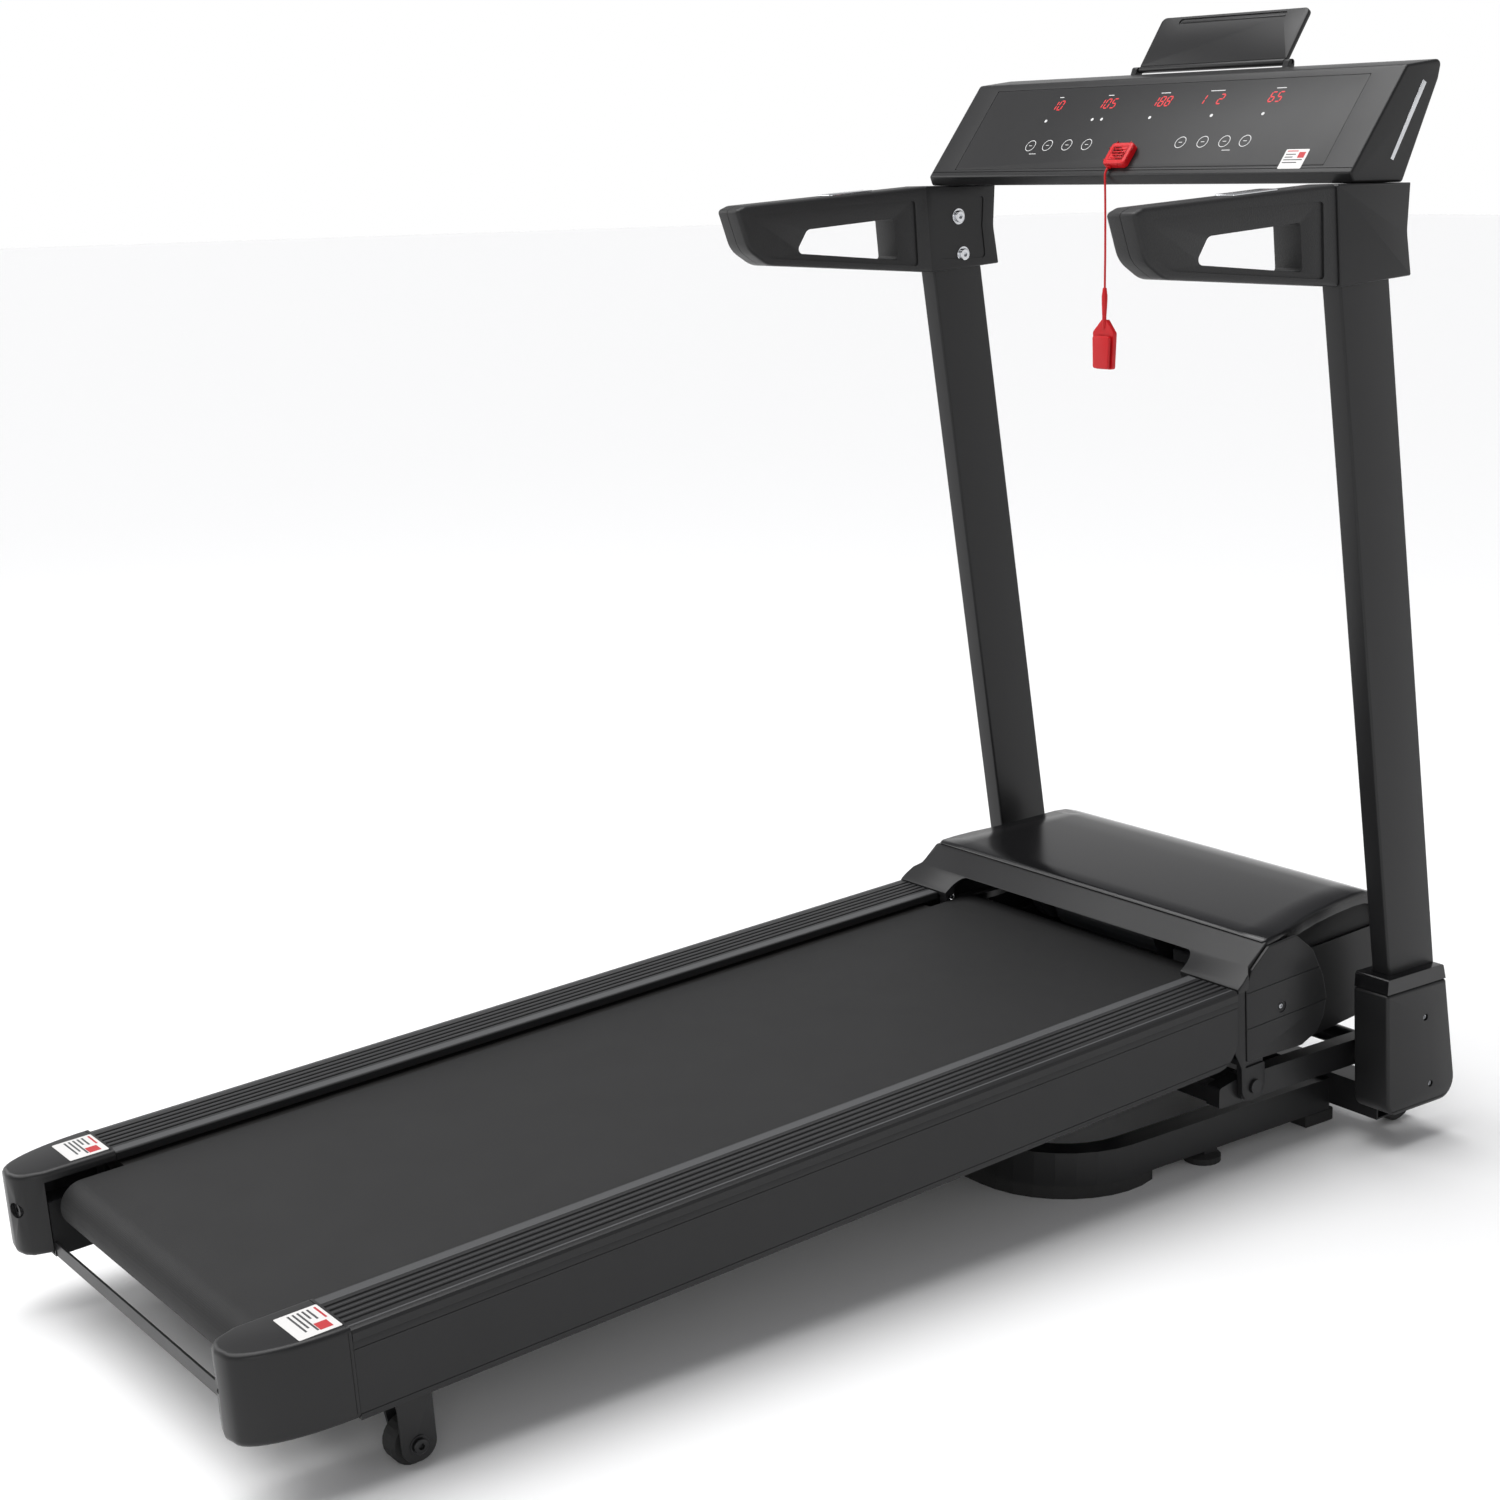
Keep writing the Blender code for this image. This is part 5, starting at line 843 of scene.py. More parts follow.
# %% The skirt under the lid, on each side
for tag, side in SIDES:
    flank = [
        (1.2560, 0.0405), (1.2560, -0.0043), (1.2860, -0.0043), (1.4365, -0.0043), (1.4365, 0.0180),
        (1.4300, 0.0300),
        (1.4150, 0.0395), (1.3900, 0.0425),
    ]
    skirt = outline("skirt", flank, 0.2515, 0.2545)
    bevel(skirt, rim_above(0.2540), 0.0008, 2)
    to_side(skirt, "hood_skirt_" + tag, side, DECK)
    settle(skirt, matt, "deck", "gloss_plastic")
print("skirts closed")

# %% [markdown]
# Below the hood a pan carries the motor, and a curved side panel hides the roller's end. The panel is a
# flat drawing with a rolled rim, two long seams, and a screw set in a round recess.

# %% Side panels
PANEL_START, PANEL_TOP = RAIL_LENGTH + 0.0225, -0.0043
SCREW_AT = (1.2210, -0.0430)
for tag, side in SIDES:
    drawing = rounded(
        [
            (PANEL_START, PANEL_TOP), (1.1715, 0.0150), (1.2005, 0.0365), (1.2480, 0.0378),
            (1.2760, 0.0130),
            (1.2938, -0.0254), (1.2992, -0.0518), (1.2938, -0.0755), (1.2828, -0.0919), (1.2560, -0.1015),
            (PANEL_START, -0.0960),
        ],
        [0.001, 0.004, 0.006, 0.016, 0.030, 0.012, 0.012, 0.012, 0.012, 0.012, 0.003],
    )
    panel = outline("panel", drawing, 0.2890, 0.2925)
    bevel(panel, rim_above(0.292), 0.0010, 3)
    seam = block("seam", (PANEL_START - 0.01, -0.0560, 0.2917), (1.3100, -0.0548, 0.3000))
    upper = block("upper", (PANEL_START - 0.01, -0.0118, 0.2917), (1.3100, -0.0108, 0.3000))
    ring = drum("ring", (*SCREW_AT, 0.2909), (*SCREW_AT, 0.3000), 0.0075, 0.0005)
    hole = drum("hole", (*SCREW_AT, 0.2800), (*SCREW_AT, 0.3000), 0.0042)
    cut(panel, seam, upper, ring, hole)
    to_side(panel, "panel_" + tag, side, DECK)
    rim = block("rim", (0.2615, PANEL_START + 0.004, -0.0083), (0.2900, 1.2780, -0.0053), 0.0004, 1)
    to_side(rim, "rim", side, DECK, None)
    settle(
        put_together("hood_panel_" + tag, [panel, rim]), satin, "deck", "moulded_plastic",
        "side_panel_" + tag
    )
print("side panels from", round(PANEL_START, 4))

# %% Ears that hang from the deck at its pivot
EAR = [
    (1.1410, -0.0060), (1.1410, -0.0760), (1.1535, -0.1020), (1.1535, -0.1460), (1.1925, -0.1460),
    (1.1925, -0.1035),
    (1.1606, -0.1030), (1.1606, -0.0060),
]
pivot_at = DECK.inverted() @ LEVEL @ Vector((0, 1.180, 0.106))
for tag, side in SIDES:
    ear = outline(
        "ear", rounded(EAR, [0.001, 0.020, 0.010, 0.017, 0.017, 0.002, 0, 0.001], 8), 0.2889, 0.2912,
        0.0006, 2
    )
    cut(ear, drum("eye", (pivot_at.y, pivot_at.z, 0.28), (pivot_at.y, pivot_at.z, 0.30), 0.0089))
    to_side(ear, "deck_ear_" + tag, side, DECK)
    settle(ear, rail_coat, "deck", "frame_paint")
print("pivot at", [round(v, 4) for v in pivot_at])

# %% [markdown]
# ## Screws and bolts
# The screws are modelled once, pointing up, and copied: a domed head with a hexagonal socket for the bolts,
# and a countersunk head with a cross for the small screws. Each copy has its own mesh.

# %% A bolt and a screw
def hex_bolt(radius=0.0075, tall=0.0042):
    head = drum("hex_bolt", (0, 0, 0), (0, 0, tall), radius, 0.0014, 36)
    cut(head, drum("socket", (0, 0, tall * 0.35), (0, 0, tall + 0.002), radius * 0.46, 0, 6))
    washer = drum("washer", (0, 0, 0), (0, 0, 0.0008), radius * 1.35, 0.0002, 36, 1)
    return put_together("hex_bolt", [head, washer])


def cross_screw(radius=0.0033, tall=0.0016):
    head = drum("cross_screw", (0, 0, -0.0010), (0, 0, tall), radius, 0.0008, 28)
    slot = radius * 0.62
    for wide, long in ((0.0004, slot), (slot, 0.0004)):
        cut(head, block("slot", (-wide, -long, tall * 0.2), (wide, long, tall + 0.002)))
    return head


FACES_SIDEWAYS = {1: Matrix.Rotation(math.pi / 2, 4, "Y"), -1: Matrix.Rotation(-math.pi / 2, 4, "Y")}
models = {"hex": hex_bolt(), "cross": cross_screw()}


def fasten(kind, name, at, facing, plane, material, body, slot):
    """A copy of a screw at a point of a plane. Facing is the sign of X, or a turn of its own."""
    copy = models[kind].copy()
    copy.data = models[kind].data.copy()
    bpy.context.scene.collection.objects.link(copy)
    copy.name = copy.data.name = name
    turn = FACES_SIDEWAYS[facing] if facing in FACES_SIDEWAYS else facing
    turn_into(copy, plane @ Matrix.Translation(at) @ turn)
    return settle(copy, material, body, slot)


for tag, side in SIDES:
    spot = (0.2900 * side, *SCREW_AT)
    fasten("cross", "panel_screw_" + tag, spot, side, DECK, zinc, "deck", "bright_steel")
print("screws ready")

# %% Fork plates beside the rear wheels
wheel_at = DECK.inverted() @ ((Vector(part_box("rear_wheel_r")[0]) + Vector(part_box("rear_wheel_r")[1])) / 2)
for tag, side in SIDES:
    y, z = wheel_at.y, wheel_at.z
    tongue = [
        (y - 0.0185, -0.0935), (y - 0.0185, z - 0.0165), (y + 0.0185, z - 0.0165), (y + 0.0185, -0.0935)
    ]
    drawing = rounded(tongue, [0.002, 0.0175, 0.0175, 0.002], 9)
    plate = outline("plate", drawing, 0.2863, 0.2885, 0.0006, 2)
    to_side(plate, "fork_plate_" + tag, side, DECK)
    settle(plate, satin, "deck", "frame_paint")
    fasten(
        "hex", "fork_bolt_" + tag, (0.2886 * side, y, z), side, DECK, black_oxide, "deck", "bright_steel"
    )
print("rear wheels at", [round(v, 4) for v in wheel_at])

# %% [markdown]
# ## Uprights and foot covers
# Two rectangular steel tubes lean forwards a little from the base. The tube starts as a block, its long
# edges get a small radius, and its ends are inset and pushed in. A cover closes each foot, with a glossy
# collar and two screws.

# %% Uprights
UPRIGHT_IN, UPRIGHT_OUT, UPRIGHT_DEEP = 0.3191, 0.3455, 0.081
LEAN_COS = math.cos(LEAN)
for tag, side in SIDES:
    post = block("post", (UPRIGHT_IN, 0, 0.054 / LEAN_COS), (UPRIGHT_OUT, UPRIGHT_DEEP, 1.098 / LEAN_COS))
    bevel(post, lambda e: abs(e.verts[0].co.z - e.verts[1].co.z) > 0.5, 0.0030, 5)
    choose(post, "FACE", lambda f: abs(f.normal.z) > 0.9)
    bpy.ops.mesh.inset(thickness=0.0020, use_individual=True)
    done(post)
    for end, push in ((True, -0.040), (False, 0.040)):
        choose(
            post, "FACE", lambda f: (f.normal.z > 0.9) == end and abs(f.normal.z) > 0.9 and len(f.verts) > 8
        )
        bpy.ops.mesh.extrude_region_move(TRANSFORM_OT_translate={"value": (0, 0, push)})
        done(post)
    to_side(post, "post_" + tag, side, UPRIGHT, None)
    settle(post, powder_coat, "base", "frame_paint", "upright_" + tag)
print("uprights", round((1.098 - 0.054) / LEAN_COS, 3), "m long")

# %% Foot covers
COVER_IN, COVER_OUT, COVER_TOP, COVER_LOW, COVER_FRONT = 0.308, 0.360, 0.220, 0.047, 1.4655
for tag, side in SIDES:
    drawing = rounded(
        [(1.3280, 0.2010), (1.4358, 0.2010), (COVER_FRONT, COVER_LOW), (1.3385, COVER_LOW)],
        [0.004, 0.004, 0.024, 0.018], 7
    )
    shell = outline("shell", drawing, COVER_IN, COVER_OUT, 0.0060, 4)
    drawing = rounded(
        [(1.3302, COVER_TOP), (1.4300, COVER_TOP), (1.4356, 0.2016), (1.3292, 0.2016)],
        [0.003, 0.003, 0, 0], 5
    )
    collar = outline("collar", drawing, COVER_IN + 0.0012, COVER_OUT - 0.0012)
    bevel(collar, lambda e: min(v.co.y for v in e.verts) > 0.2190 and flat_in(2)(e), 0.0070, 5)
    inside = [
        (1.3310, 0.1960), (1.4300, 0.1960), (COVER_FRONT - 0.010, 0.066), (COVER_FRONT - 0.022, 0.030),
        (1.3550, 0.030), (1.3420, 0.066)
    ]
    cut(shell, outline("inside", inside, COVER_IN + 0.003, COVER_OUT - 0.003))
    turn_into(shell, AROUND)
    turn_into(collar, AROUND)
    gap = 0.0007
    for piece in (shell, collar):
        mouth_low = (UPRIGHT_IN - gap, -gap, 0.16)
        mouth_high = (UPRIGHT_OUT + gap, UPRIGHT_DEEP + gap, 0.30)
        cut(piece, turn_into(block("mouth", mouth_low, mouth_high), LEANING))
    cut(shell, block("notch", (COVER_IN - 0.01, 1.3680, 0.0), (COVER_IN + 0.008, 1.4100, 0.066)))
    for y, z in ((1.400, 0.160), (1.415, 0.073)):
        cut(shell, drum("screw_hole", (COVER_OUT - 0.012, y, z), (COVER_OUT + 0.01, y, z), 0.0042, 0, 28))
        spot, name = ((COVER_OUT - 0.0034) * side, y, z), f"cover_screw_{round(z * 1000)}_{tag}"
        fasten("cross", name, spot, side, LEVEL, zinc, "base", "bright_steel")
    foot_line = outline(
        "foot_line", rounded([(1.3380, 0.0520), (1.4648, 0.0520), (1.4650, 0.0528), (1.3380, 0.0528)], 0),
        0.3590, 0.3700
    )
    cut(shell, turn_into(foot_line, AROUND))
    to_side(shell, "foot_shell_" + tag, side, LEVEL, None)
    to_side(collar, "foot_collar_" + tag, side, LEVEL, None)
    settle(shell, satin, "base", "moulded_plastic", "foot_cover_" + tag)
    settle(collar, piano, "base", "moulded_plastic")
print("foot covers", COVER_TOP, "m tall")

# %% [markdown]
# ## Necks and handles
# A neck joins each upright to the console. Its rear edge is a concave curve, and two bolts hold it from
# inside. The handle in front of it is a flat ring: a rounded outer band, a recessed panel in it, and a
# window for the fingers. The panel and the window are drawn on their own and cut into both side faces.

# %% Necks
NECK_IN, NECK_OUT, NECK_TOP = 0.312, 0.355, 1.1315
for tag, side in SIDES:
    drawing = rounded(
        [(1.2035, 1.024), (1.3195, 1.032), (1.3100, 1.080), (1.3122, NECK_TOP), (1.1925, NECK_TOP)],
        [0, 0.002, 0.045, 0, 0.003], 9
    )
    neck = outline("neck", drawing, NECK_IN, NECK_OUT, 0.0028, 3)
    turn_into(neck, AROUND)
    mouth_low = (UPRIGHT_IN - 0.0003, -0.0003, 0.98)
    mouth_high = (UPRIGHT_OUT + 0.0003, UPRIGHT_DEEP + 0.0003, 1.1134)
    cut(neck, turn_into(block("bore", mouth_low, mouth_high), LEANING))
    recess = rounded(
        [(1.2180, 1.040), (1.2960, 1.040), (1.2900, 1.080), (1.2920, 1.118), (1.2080, 1.118)], 0.005, 4
    )
    cut(neck, turn_into(outline("recess", recess, NECK_IN - 0.01, NECK_IN + 0.0012), AROUND))
    to_side(neck, "neck_shell_" + tag, side, LEVEL, None)
    settle(neck, satin, "base", "moulded_plastic", "neck_" + tag)
    for y, z in ((1.2500, 1.089), (1.2585, 1.041)):
        spot, name = ((NECK_IN + 0.0012) * side, y, z + 0.004), f"neck_bolt_{round(z * 1000)}_{tag}"
        fasten("hex", name, spot, -side, LEVEL, bright, "base", "bright_steel")
print("necks made")

# %% Handles
HANDLE_IN, HANDLE_OUT = 0.310, 0.352
HANDLE_BACK = [(1.2032, 1.024), (1.1922, NECK_TOP)]


def window_rim(edge):
    inside = 0.980 < middle_of(edge).x < 1.150 and 1.040 < middle_of(edge).y < 1.095
    return inside and flat_in(2)(edge) and len(edge.link_faces) == 2 and edge.calc_face_angle(0) > 0.5


for tag, side in SIDES:
    corners = [
        (0.894, 1.108), (0.912, 1.060), (0.942, 1.0415), *HANDLE_BACK, (1.05, 1.1225), (0.908, 1.1135)
    ]
    drawing = rounded(corners, [0.005, 0.034, 0.034, 0, 0, 0, 0.012], 8)
    grip = outline("grip", drawing, HANDLE_IN, HANDLE_OUT)
    bevel(grip, lambda e: flat_in(2)(e) and middle_of(e).x < 1.1900, 0.0065, 4)
    panel = rounded(
        [
            (0.914, 1.1010), (0.925, 1.0640), (0.948, 1.0500), (1.1800, 1.0330), (1.1740, 1.1140),
            (1.05, 1.1100)
        ],
        [0.006, 0.026, 0.026, 0.004, 0.004, 0], 8
    )
    for low, high in ((HANDLE_IN - 0.01, HANDLE_IN + 0.0022), (HANDLE_OUT - 0.0022, HANDLE_OUT + 0.01)):
        cut(grip, outline("panel", panel, low, high))
    window = rounded(
        [(0.985, 1.055), (1.1475, 1.0415), (1.1415, 1.093), (1.003, 1.083)], [0.006, 0.004, 0.004, 0.010], 6
    )
    cut(grip, outline("window", window, HANDLE_IN - 0.01, HANDLE_OUT + 0.01))
    bevel(grip, window_rim, 0.0016, 2)
    seam = block("seam", (0.880, 1.000, 0.33060), (1.210, 1.150, 0.33140))
    inner = rounded(
        [
            (0.8955, 1.1075), (0.9135, 1.0612), (0.9425, 1.0430), (1.2100, 1.0250), (1.2100, 1.1310),
            (1.05, 1.1210), (0.908, 1.1120)
        ],
        [0.005, 0.034, 0.034, 0, 0, 0, 0.012], 8
    )
    cut(seam, outline("inner", inner, 0.3200, 0.3400))
    cut(grip, seam)
    turn_into(grip, LEVEL @ AROUND)
    seat = [(1.0412, 1.12215), (1.1158, 1.1274), (1.1158, 1.1400), (1.0412, 1.1400)]
    cut(grip, turn_into(outline("seat", seat, HANDLE_IN + 0.0060, HANDLE_OUT - 0.0060), LEVEL @ AROUND))
    mirror_side(grip, side)
    grip.name = "grip_" + tag
    settle(grip, handle_grain, "base", "moulded_plastic", "handle_" + tag, angle=30)
    plate = outline(
        "plate", rounded(oblong(-0.0345, 0.3170, 0.0345, 0.3450), 0.004, 5), 0.0002, 0.0016, 0.0006, 2,
        both=False
    )
    lie = Matrix.Translation((0, 1.0785, 1.12465)) @ Matrix.Rotation(math.atan2(0.0047, 0.069), 4, "X")
    lie = lie @ Matrix.Rotation(math.pi / 2, 4, "Z") @ Matrix.Scale(-1, 4, (0, 1, 0))
    turn_into(plate, lie)
    choose(plate, "FACE", lambda f: True)
    bpy.ops.mesh.normals_make_consistent(inside=False)
    done(plate)
    to_side(plate, "pulse_sensor_" + tag, side, LEVEL, None)
    settle(plate, bright, "base", "chrome_metal", "pulse_plate_" + tag)
print("handles made")

# %% [markdown]
# ## Console
# The console is one long extrusion: its end section is drawn once, extruded across the machine, and its
# two end rims are rolled over with a wide bevel. A thin smoked window carries the displays. The lip under
# it stands proud.

# %% Console body
CONSOLE_HALF, FACE_TALL = 0.3435, 0.1416
lip_at = (1.226, 1.143)
top_at = (lip_at[0] + FACE_TALL * math.cos(FACE_TILT), lip_at[1] + FACE_TALL * math.sin(FACE_TILT))
section = rounded(
    [
        lip_at, top_at, (1.371, 1.2627), (1.366, 1.241), (1.3128, NECK_TOP + 0.0003),
        (1.2305, NECK_TOP + 0.0003)
    ],
    [0.0035, 0.006, 0.006, 0.014, 0.004, 0.004], 6,
)
body = outline("console_body", section, -CONSOLE_HALF, CONSOLE_HALF, 0.0170, 6)
turn_into(body, LEVEL @ AROUND)
cavity = turn_into(block("cavity", (-0.3000, 0.0100, -0.0300), (0.3000, FACE_TALL - 0.0100, 0.0100)), FACE)
hollow = outline(
    "hollow", [(1.2440, 1.1375), (1.3080, 1.1375), (1.3560, 1.2350), (1.3200, 1.2400)], -0.300, 0.300
)
lip_line = turn_into(block("lip_line", (-0.36, 0.0062, -0.0009), (0.36, 0.0071, 0.01)), FACE)
cut(body, cavity, turn_into(hollow, LEVEL @ AROUND), lip_line)
knuckles = []
for side in (-1, 1):
    lug = rounded(
        [(-0.012, -0.017), (0.001, -0.012), (0.0045, -0.004), (0.0045, 0.0035), (-0.0045, 0.0035)],
        [0, 0, 0, 0.004, 0.004], 5
    )
    low, high = sorted((0.1179 * side, 0.1264 * side))
    knuckle = outline("knuckle", [(HINGE_Y + u, HINGE_Z + v) for u, v in lug], low, high, 0.0006, 2)
    bore = drum("bore", (HINGE_Y, HINGE_Z, low - 0.01), (HINGE_Y, HINGE_Z, high + 0.01), 0.0026)
    knuckles.append(turn_into(cut(knuckle, bore), LEVEL @ AROUND))
body = put_together("console_body", [body, *knuckles])
settle(body, satin, "base", "gloss_plastic", "console_shell", angle=30)

window = outline("console_window", rounded(oblong(-0.2996, 0.0104, 0.2996, 0.1312), 0.002, 3), -0.0030, 0.0)
bevel(window, rim_above(-0.001), 0.0004, 2)
cut(window, drum("stem_hole", (KEY_X, KEY_UP, -0.01), (KEY_X, KEY_UP, 0.01), 0.0067))
posts = [
    block("post", (u, 0.0125, -0.0120), (u + 0.006, 0.0300, -0.0028), 0.0004, 1) for u in (-0.026, 0.020)
]
window = put_together("console_window", [window, *posts])
settle(turn_into(window, FACE), smoked, "base", "gloss_plastic", "console_panel")
print("console", round(2 * CONSOLE_HALF, 3), "m wide")

# %% Bright strips at the console's ends, painted highlights
for tag, side in SIDES:
    # A chrome strip runs down each rounded end where that end catches the light. It is a painted highlight
    # and is wider at the top.
    run = rounded([(1.2895, 1.1570), (1.3385, 1.2400), (1.3445, 1.2370), (1.2945, 1.1550)], 0.0006, 3)
    highlight_strip = outline("highlight_strip", run, 0.3429, 0.3441, 0.0004, 2)
    to_side(highlight_strip, "painted_end_highlight_" + tag, side, LEVEL)
    settle(highlight_strip, bright, "base", "chrome_metal")
print("trims made")

# %% [markdown]
# ## Displays and keys
# Each display digit has seven bars. One bar is a flattened hexagon, and a digit is a choice of copies.
# The keys are printed rings. Labels are short plain bars in place of words.

# %% Display digits
BARS = {  # middle and turn of each of the seven bars, for a digit one unit wide and two tall
    "a": (0, 2, 0), "b": (0.5, 1.5, 1), "c": (0.5, 0.5, 1), "d": (0, 0, 0), "e": (-0.5, 0.5, 1),
    "f": (-0.5, 1.5, 1), "g": (0, 1, 0),
}
DIGITS = {"0": "abcdef", "1": "bc", "2": "abged", "5": "afgcd", "6": "afgedc", "8": "abcdefg"}
PRINT_LOW, PRINT_HIGH = 0.0000, 0.00022


def digit_bars(number, across, up_face, wide=0.0066):
    """The lit bars of one digit, leaning to the right a little."""
    made = []
    for letter in DIGITS[number]:
        u, v, upright = BARS[letter]
        reach, thick = wide * 0.43, wide * 0.12
        bar = [
            (-reach, 0), (-reach + thick, -thick), (reach - thick, -thick), (reach, 0),
            (reach - thick, thick), (-reach + thick, thick)
        ]
        if upright:
            bar = [(-b, a) for a, b in bar]
        place = [(across + (u * wide + a) + 0.16 * (v * wide + b), up_face + v * wide + b) for a, b in bar]
        made.append(outline("bar", place, PRINT_LOW, PRINT_HIGH))
    return made


lit = []
DIGIT_ROW, DIGIT_PITCH = 0.0985, 0.0108
for number, start in (
    ("10", -0.180), ("105", -0.099), ("188", -0.009), ("1", 0.067), ("2", 0.095), ("65", 0.173)
):
    for place, character in enumerate(number):
        lit += digit_bars(character, start + place * DIGIT_PITCH, DIGIT_ROW)
glow = bpy.data.materials.new("lit_red")
glow.use_nodes = True
tree = glow.node_tree
shader = tree.nodes["Principled BSDF"]
shader.inputs["Base Color"].default_value = (0.25, 0.004, 0.006, 1)
shader.inputs["Roughness"].default_value = 0.4
shader.inputs["Emission Color"].default_value = (0.80, 0.012, 0.020, 1)
shader.inputs["Emission Strength"].default_value = 0.75
digits = put_together("display_digits", lit)
settle(turn_into(digits, FACE), glow, "base", "safety_red")
print(len(lit), "lit bars")

# %% Printed rings, dots and label bars
printed = []
for at in (-0.183, -0.153, -0.119, -0.085, 0.069, 0.1035, 0.137, 0.168):
    bpy.ops.mesh.primitive_circle_add(
        vertices=40, radius=0.0080, fill_type="NGON", location=(at, 0.045, PRINT_LOW)
    )
    ring = bpy.context.object
    choose(ring, "FACE", lambda f: True)
    bpy.ops.mesh.inset(thickness=0.0008)
    choose(ring, "FACE", lambda f: len(f.verts) > 4)
    bpy.ops.mesh.delete(type="FACE")
    bpy.ops.mesh.select_all(action="SELECT")
    bpy.ops.mesh.extrude_region_move(TRANSFORM_OT_translate={"value": (0, 0, PRINT_HIGH - PRINT_LOW)})
    bpy.ops.mesh.select_all(action="SELECT")
    bpy.ops.mesh.normals_make_consistent(inside=False)
    done(ring)
    printed.append(ring)
    printed.append(block("stroke", (at - 0.0026, 0.0446, PRINT_LOW), (at + 0.0026, 0.0454, PRINT_HIGH)))
for at in (-0.180, -0.099, -0.083, -0.003, 0.095, 0.173):
    printed.append(drum("dot", (at, 0.082, PRINT_LOW), (at, 0.082, PRINT_HIGH), 0.0021, 0, 20))
for at, long in ((-0.174, 0.007), (-0.088, 0.009), (0.0025, 0.015), (0.085, 0.022), (0.181, 0.014)):
    printed.append(block("tag", (at - long / 2, 0.1168, PRINT_LOW), (at + long / 2, 0.1178, PRINT_HIGH)))
for at in (-0.172, 0.146):
    printed.append(block("tag", (at - 0.006, 0.0322, PRINT_LOW), (at + 0.006, 0.0331, PRINT_HIGH)))
prints = put_together("console_prints", printed)
alone(prints)
bpy.ops.object.transform_apply(location=True, rotation=True, scale=True)
settle(turn_into(prints, FACE), white_print, "base", "moulded_plastic")
print(len(printed), "printed marks")

# %% [markdown]
# ## Tablet rest
# A flap on a pin holds a tablet. A ledge is cut near the top edge of one face and a shallow field in the
# other face. A barrel along its foot turns on the pin.

# %% Tablet rest
FLAP_HALF, FLAP_TALL = 0.1174, 0.0735
leaf = outline(
    "leaf", rounded(oblong(-FLAP_HALF, 0.0035, FLAP_HALF, FLAP_TALL), [0.001, 0.001, 0.007, 0.007], 6),
    -0.0030, 0.0030, 0.0010, 2,
)
ledge = outline("ledge", rounded(oblong(-0.0860, 0.0615, 0.0860, 0.0700), 0.0042, 6), 0.0017, 0.0100)
shallow = outline("shallow", rounded(oblong(-0.1110, 0.0100, 0.1110, 0.0560), 0.003, 4), -0.0100, -0.0024)
cut(leaf, ledge, shallow)
ridge = outline(
    "ridge", rounded(oblong(-0.0830, 0.0640, 0.0830, 0.0662), 0.0009, 3), 0.0010, 0.0024, 0.0004, 2
)
leaf = put_together("leaf", [leaf, ridge])
turn_into(leaf, UPWARDS)
barrel = drum("barrel", (-FLAP_HALF + 0.001, 0, 0), (FLAP_HALF - 0.001, 0, 0), 0.0042, 0.0005, 24)
flap_pin = drum("flap_pin", (-FLAP_HALF - 0.008, 0, 0), (FLAP_HALF + 0.008, 0, 0), 0.0022, 0.0004, 20)
rest_piece = put_together("tablet_leaf", [leaf, barrel, flap_pin])
settle(turn_into(rest_piece, FLAP), satin, "tablet_flap", "moulded_plastic", "tablet_flap")
print("tablet rest", round(2 * FLAP_HALF, 3), "m wide")

# %% [markdown]
# ## Floor, light and what is left
# The other pieces keep the mechanical model's own shape and get their finishes here.

# %% Finishes on the model's own pieces
finish_by_slot = {
    "frame_paint": powder_coat, "moulded_plastic": satin, "gloss_plastic": piano, "rubber": tread_rubber,
    "belt_rubber": belt_cover, "board_wood": board, "chrome_metal": bright, "bright_steel": zinc,
    "roller_aluminium": turned_alloy, "cast_motor": cast, "controller_case": cast,
    "safety_red": red_plastic,
}
slot_of_node = {part["node"]: part["material_slot"] for part in frame["record"]["subparts"]}
finish_by_node = {
    "pivot_bolt_l": black_oxide, "pivot_bolt_r": black_oxide, "front_axle": black_oxide,
    "tension_bolt_l": black_oxide,
    "tension_bolt_r": black_oxide, "incline_ram": turned_alloy,
}
for name, piece in nodes.items():
    piece.data.materials.clear()
    piece.data.materials.append(finish_by_node.get(name, finish_by_slot[slot_of_node[name]]))
    alone(piece)
    bpy.ops.object.shade_smooth_by_angle(angle=math.radians(32))
print(len(nodes), "nodes finished")

# %% Floor and light
def plain(name, colour, rough):
    material = bpy.data.materials.new(name)
    material.use_nodes = True
    shader = material.node_tree.nodes["Principled BSDF"]
    shader.inputs["Base Color"].default_value = (*colour, 1)
    shader.inputs["Roughness"].default_value = rough
    return material


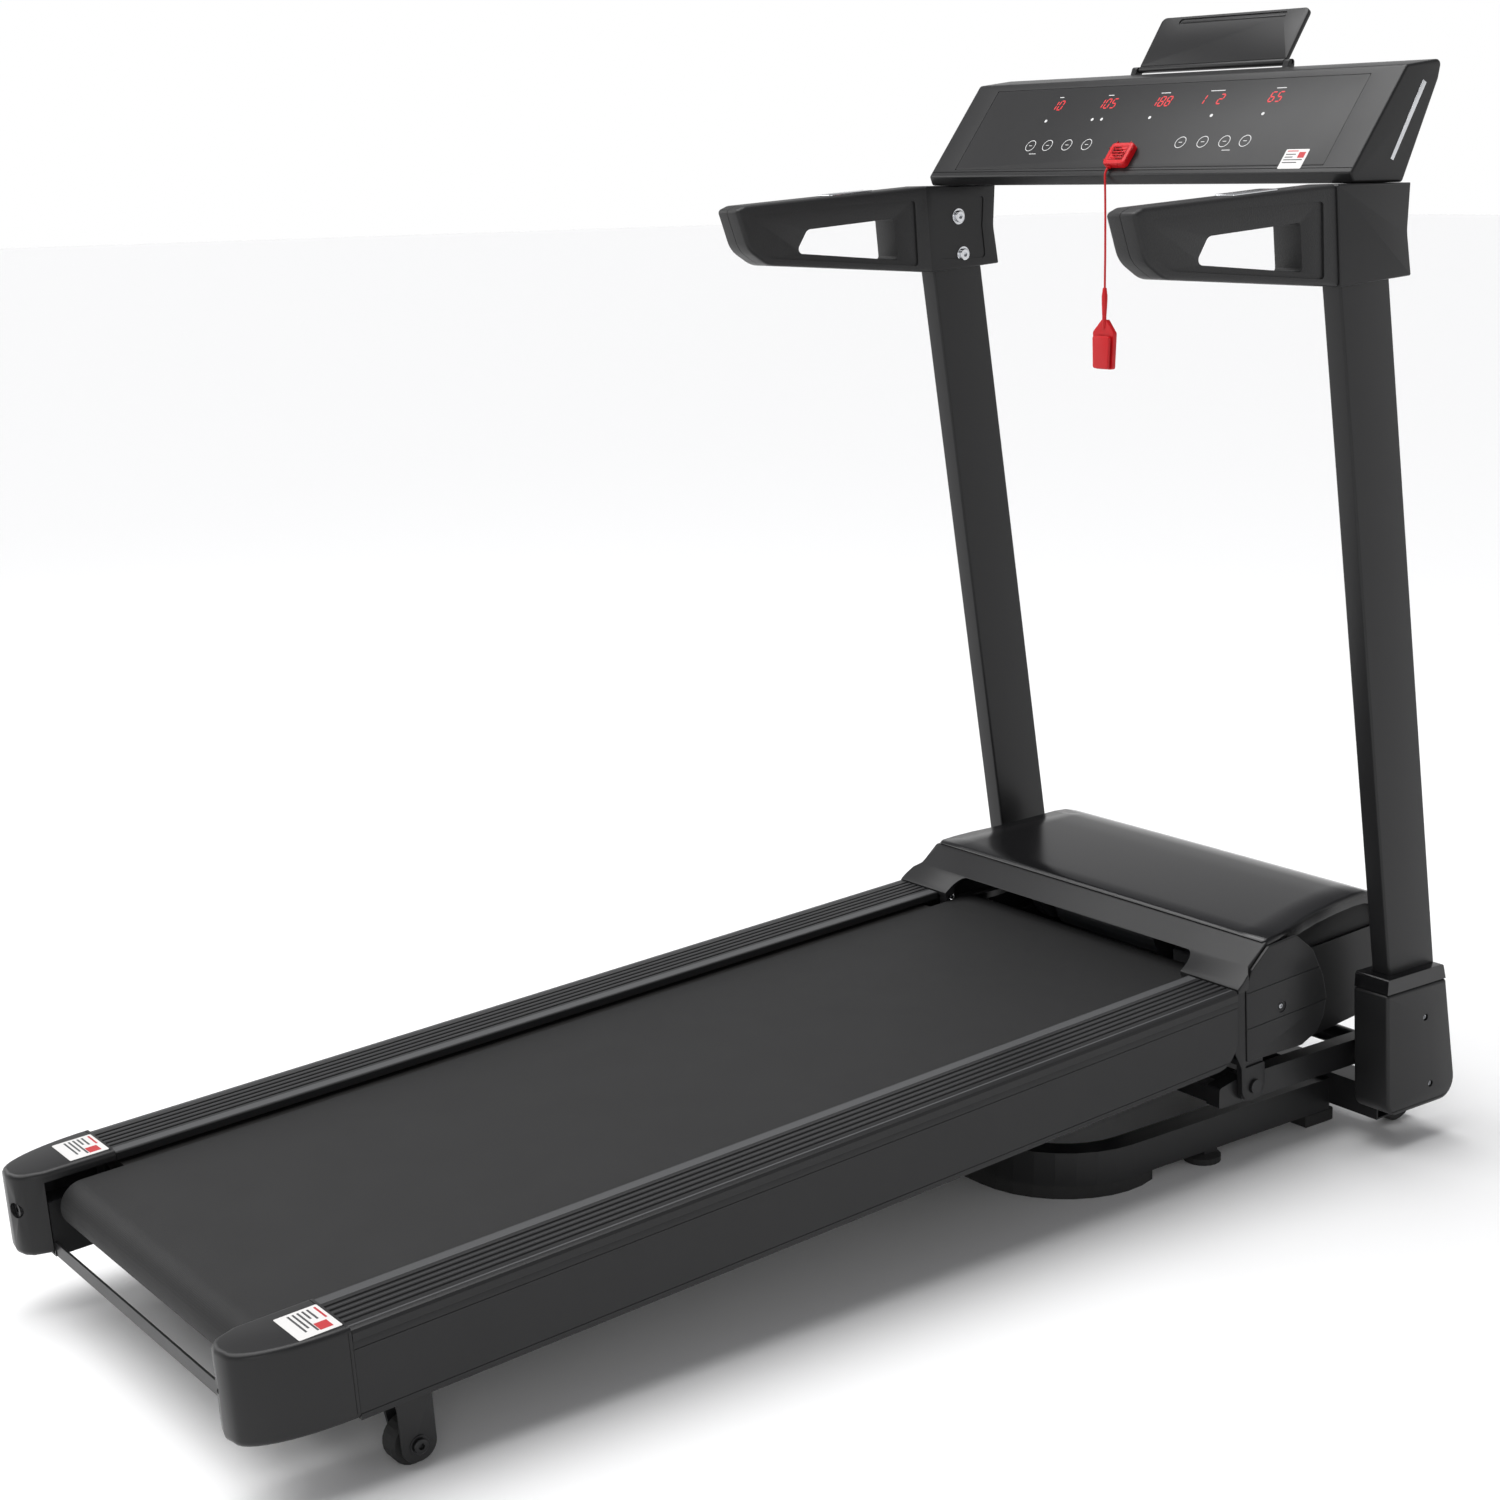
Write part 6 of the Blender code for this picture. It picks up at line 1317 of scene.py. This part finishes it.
bpy.ops.mesh.primitive_plane_add(size=80, location=(0, 0, 0))
floor = bpy.context.object
floor.name = "floor"
floor.data.materials.append(plain("pale_floor", (0.86, 0.86, 0.86), 0.65))

world = bpy.data.worlds.new("studio")
bpy.context.scene.world = world
world.use_nodes = True
sky = world.node_tree
direction = sky.nodes.new("ShaderNodeTexCoord")
apart = sky.nodes.new("ShaderNodeSeparateXYZ")
fade = sky.nodes.new("ShaderNodeValToRGB")
sky.links.new(direction.outputs["Generated"], apart.inputs["Vector"])
sky.links.new(apart.outputs["Z"], fade.inputs["Fac"])
sky.links.new(fade.outputs["Color"], sky.nodes["Background"].inputs["Color"])
fade.color_ramp.elements[0].position, fade.color_ramp.elements[0].color = 0.10, (1, 1, 1, 1)
fade.color_ramp.elements[1].position, fade.color_ramp.elements[1].color = 0.55, (0.22, 0.22, 0.23, 1)
bpy.context.scene.view_settings.view_transform = "Standard"


def softbox(name, at, aim, size, power):
    """A square lamp that looks at a point."""
    lamp = bpy.data.lights.new(name, "AREA")
    lamp.shape = "RECTANGLE"
    lamp.size, lamp.size_y = size
    lamp.energy = power
    holder = bpy.data.objects.new(name, lamp)
    bpy.context.scene.collection.objects.link(holder)
    turn = (Vector(aim) - Vector(at)).to_track_quat("-Z", "Y")
    holder.matrix_world = Matrix.Translation(at) @ turn.to_matrix().to_4x4()
    return holder


softbox("overhead", (-0.3, 0.2, 3.4), (0, 0.1, 0.2), (2.4, 2.4), 30)
softbox("tail_left", (-3.2, -1.6, 2.2), (0, 0.0, 0.4), (2.0, 2.0), 30)
softbox("user_side", (3.0, -2.2, 1.6), (0, 0.2, 0.5), (1.6, 1.6), 14)
sun = bpy.data.lights.new("sky_panel", "SUN")
sun.energy, sun.angle = 2.75, math.radians(60)
high_sun = bpy.data.objects.new("sky_panel", sun)
tip, swing = math.radians(12), math.radians(-14)
high_sun.matrix_world = Matrix.Rotation(tip, 4, "X") @ Matrix.Rotation(swing, 4, "Y")
bpy.context.scene.collection.objects.link(high_sun)
print("lights set")

# %% Finish
for model in models.values():
    bpy.data.objects.remove(model, do_unlink=True)
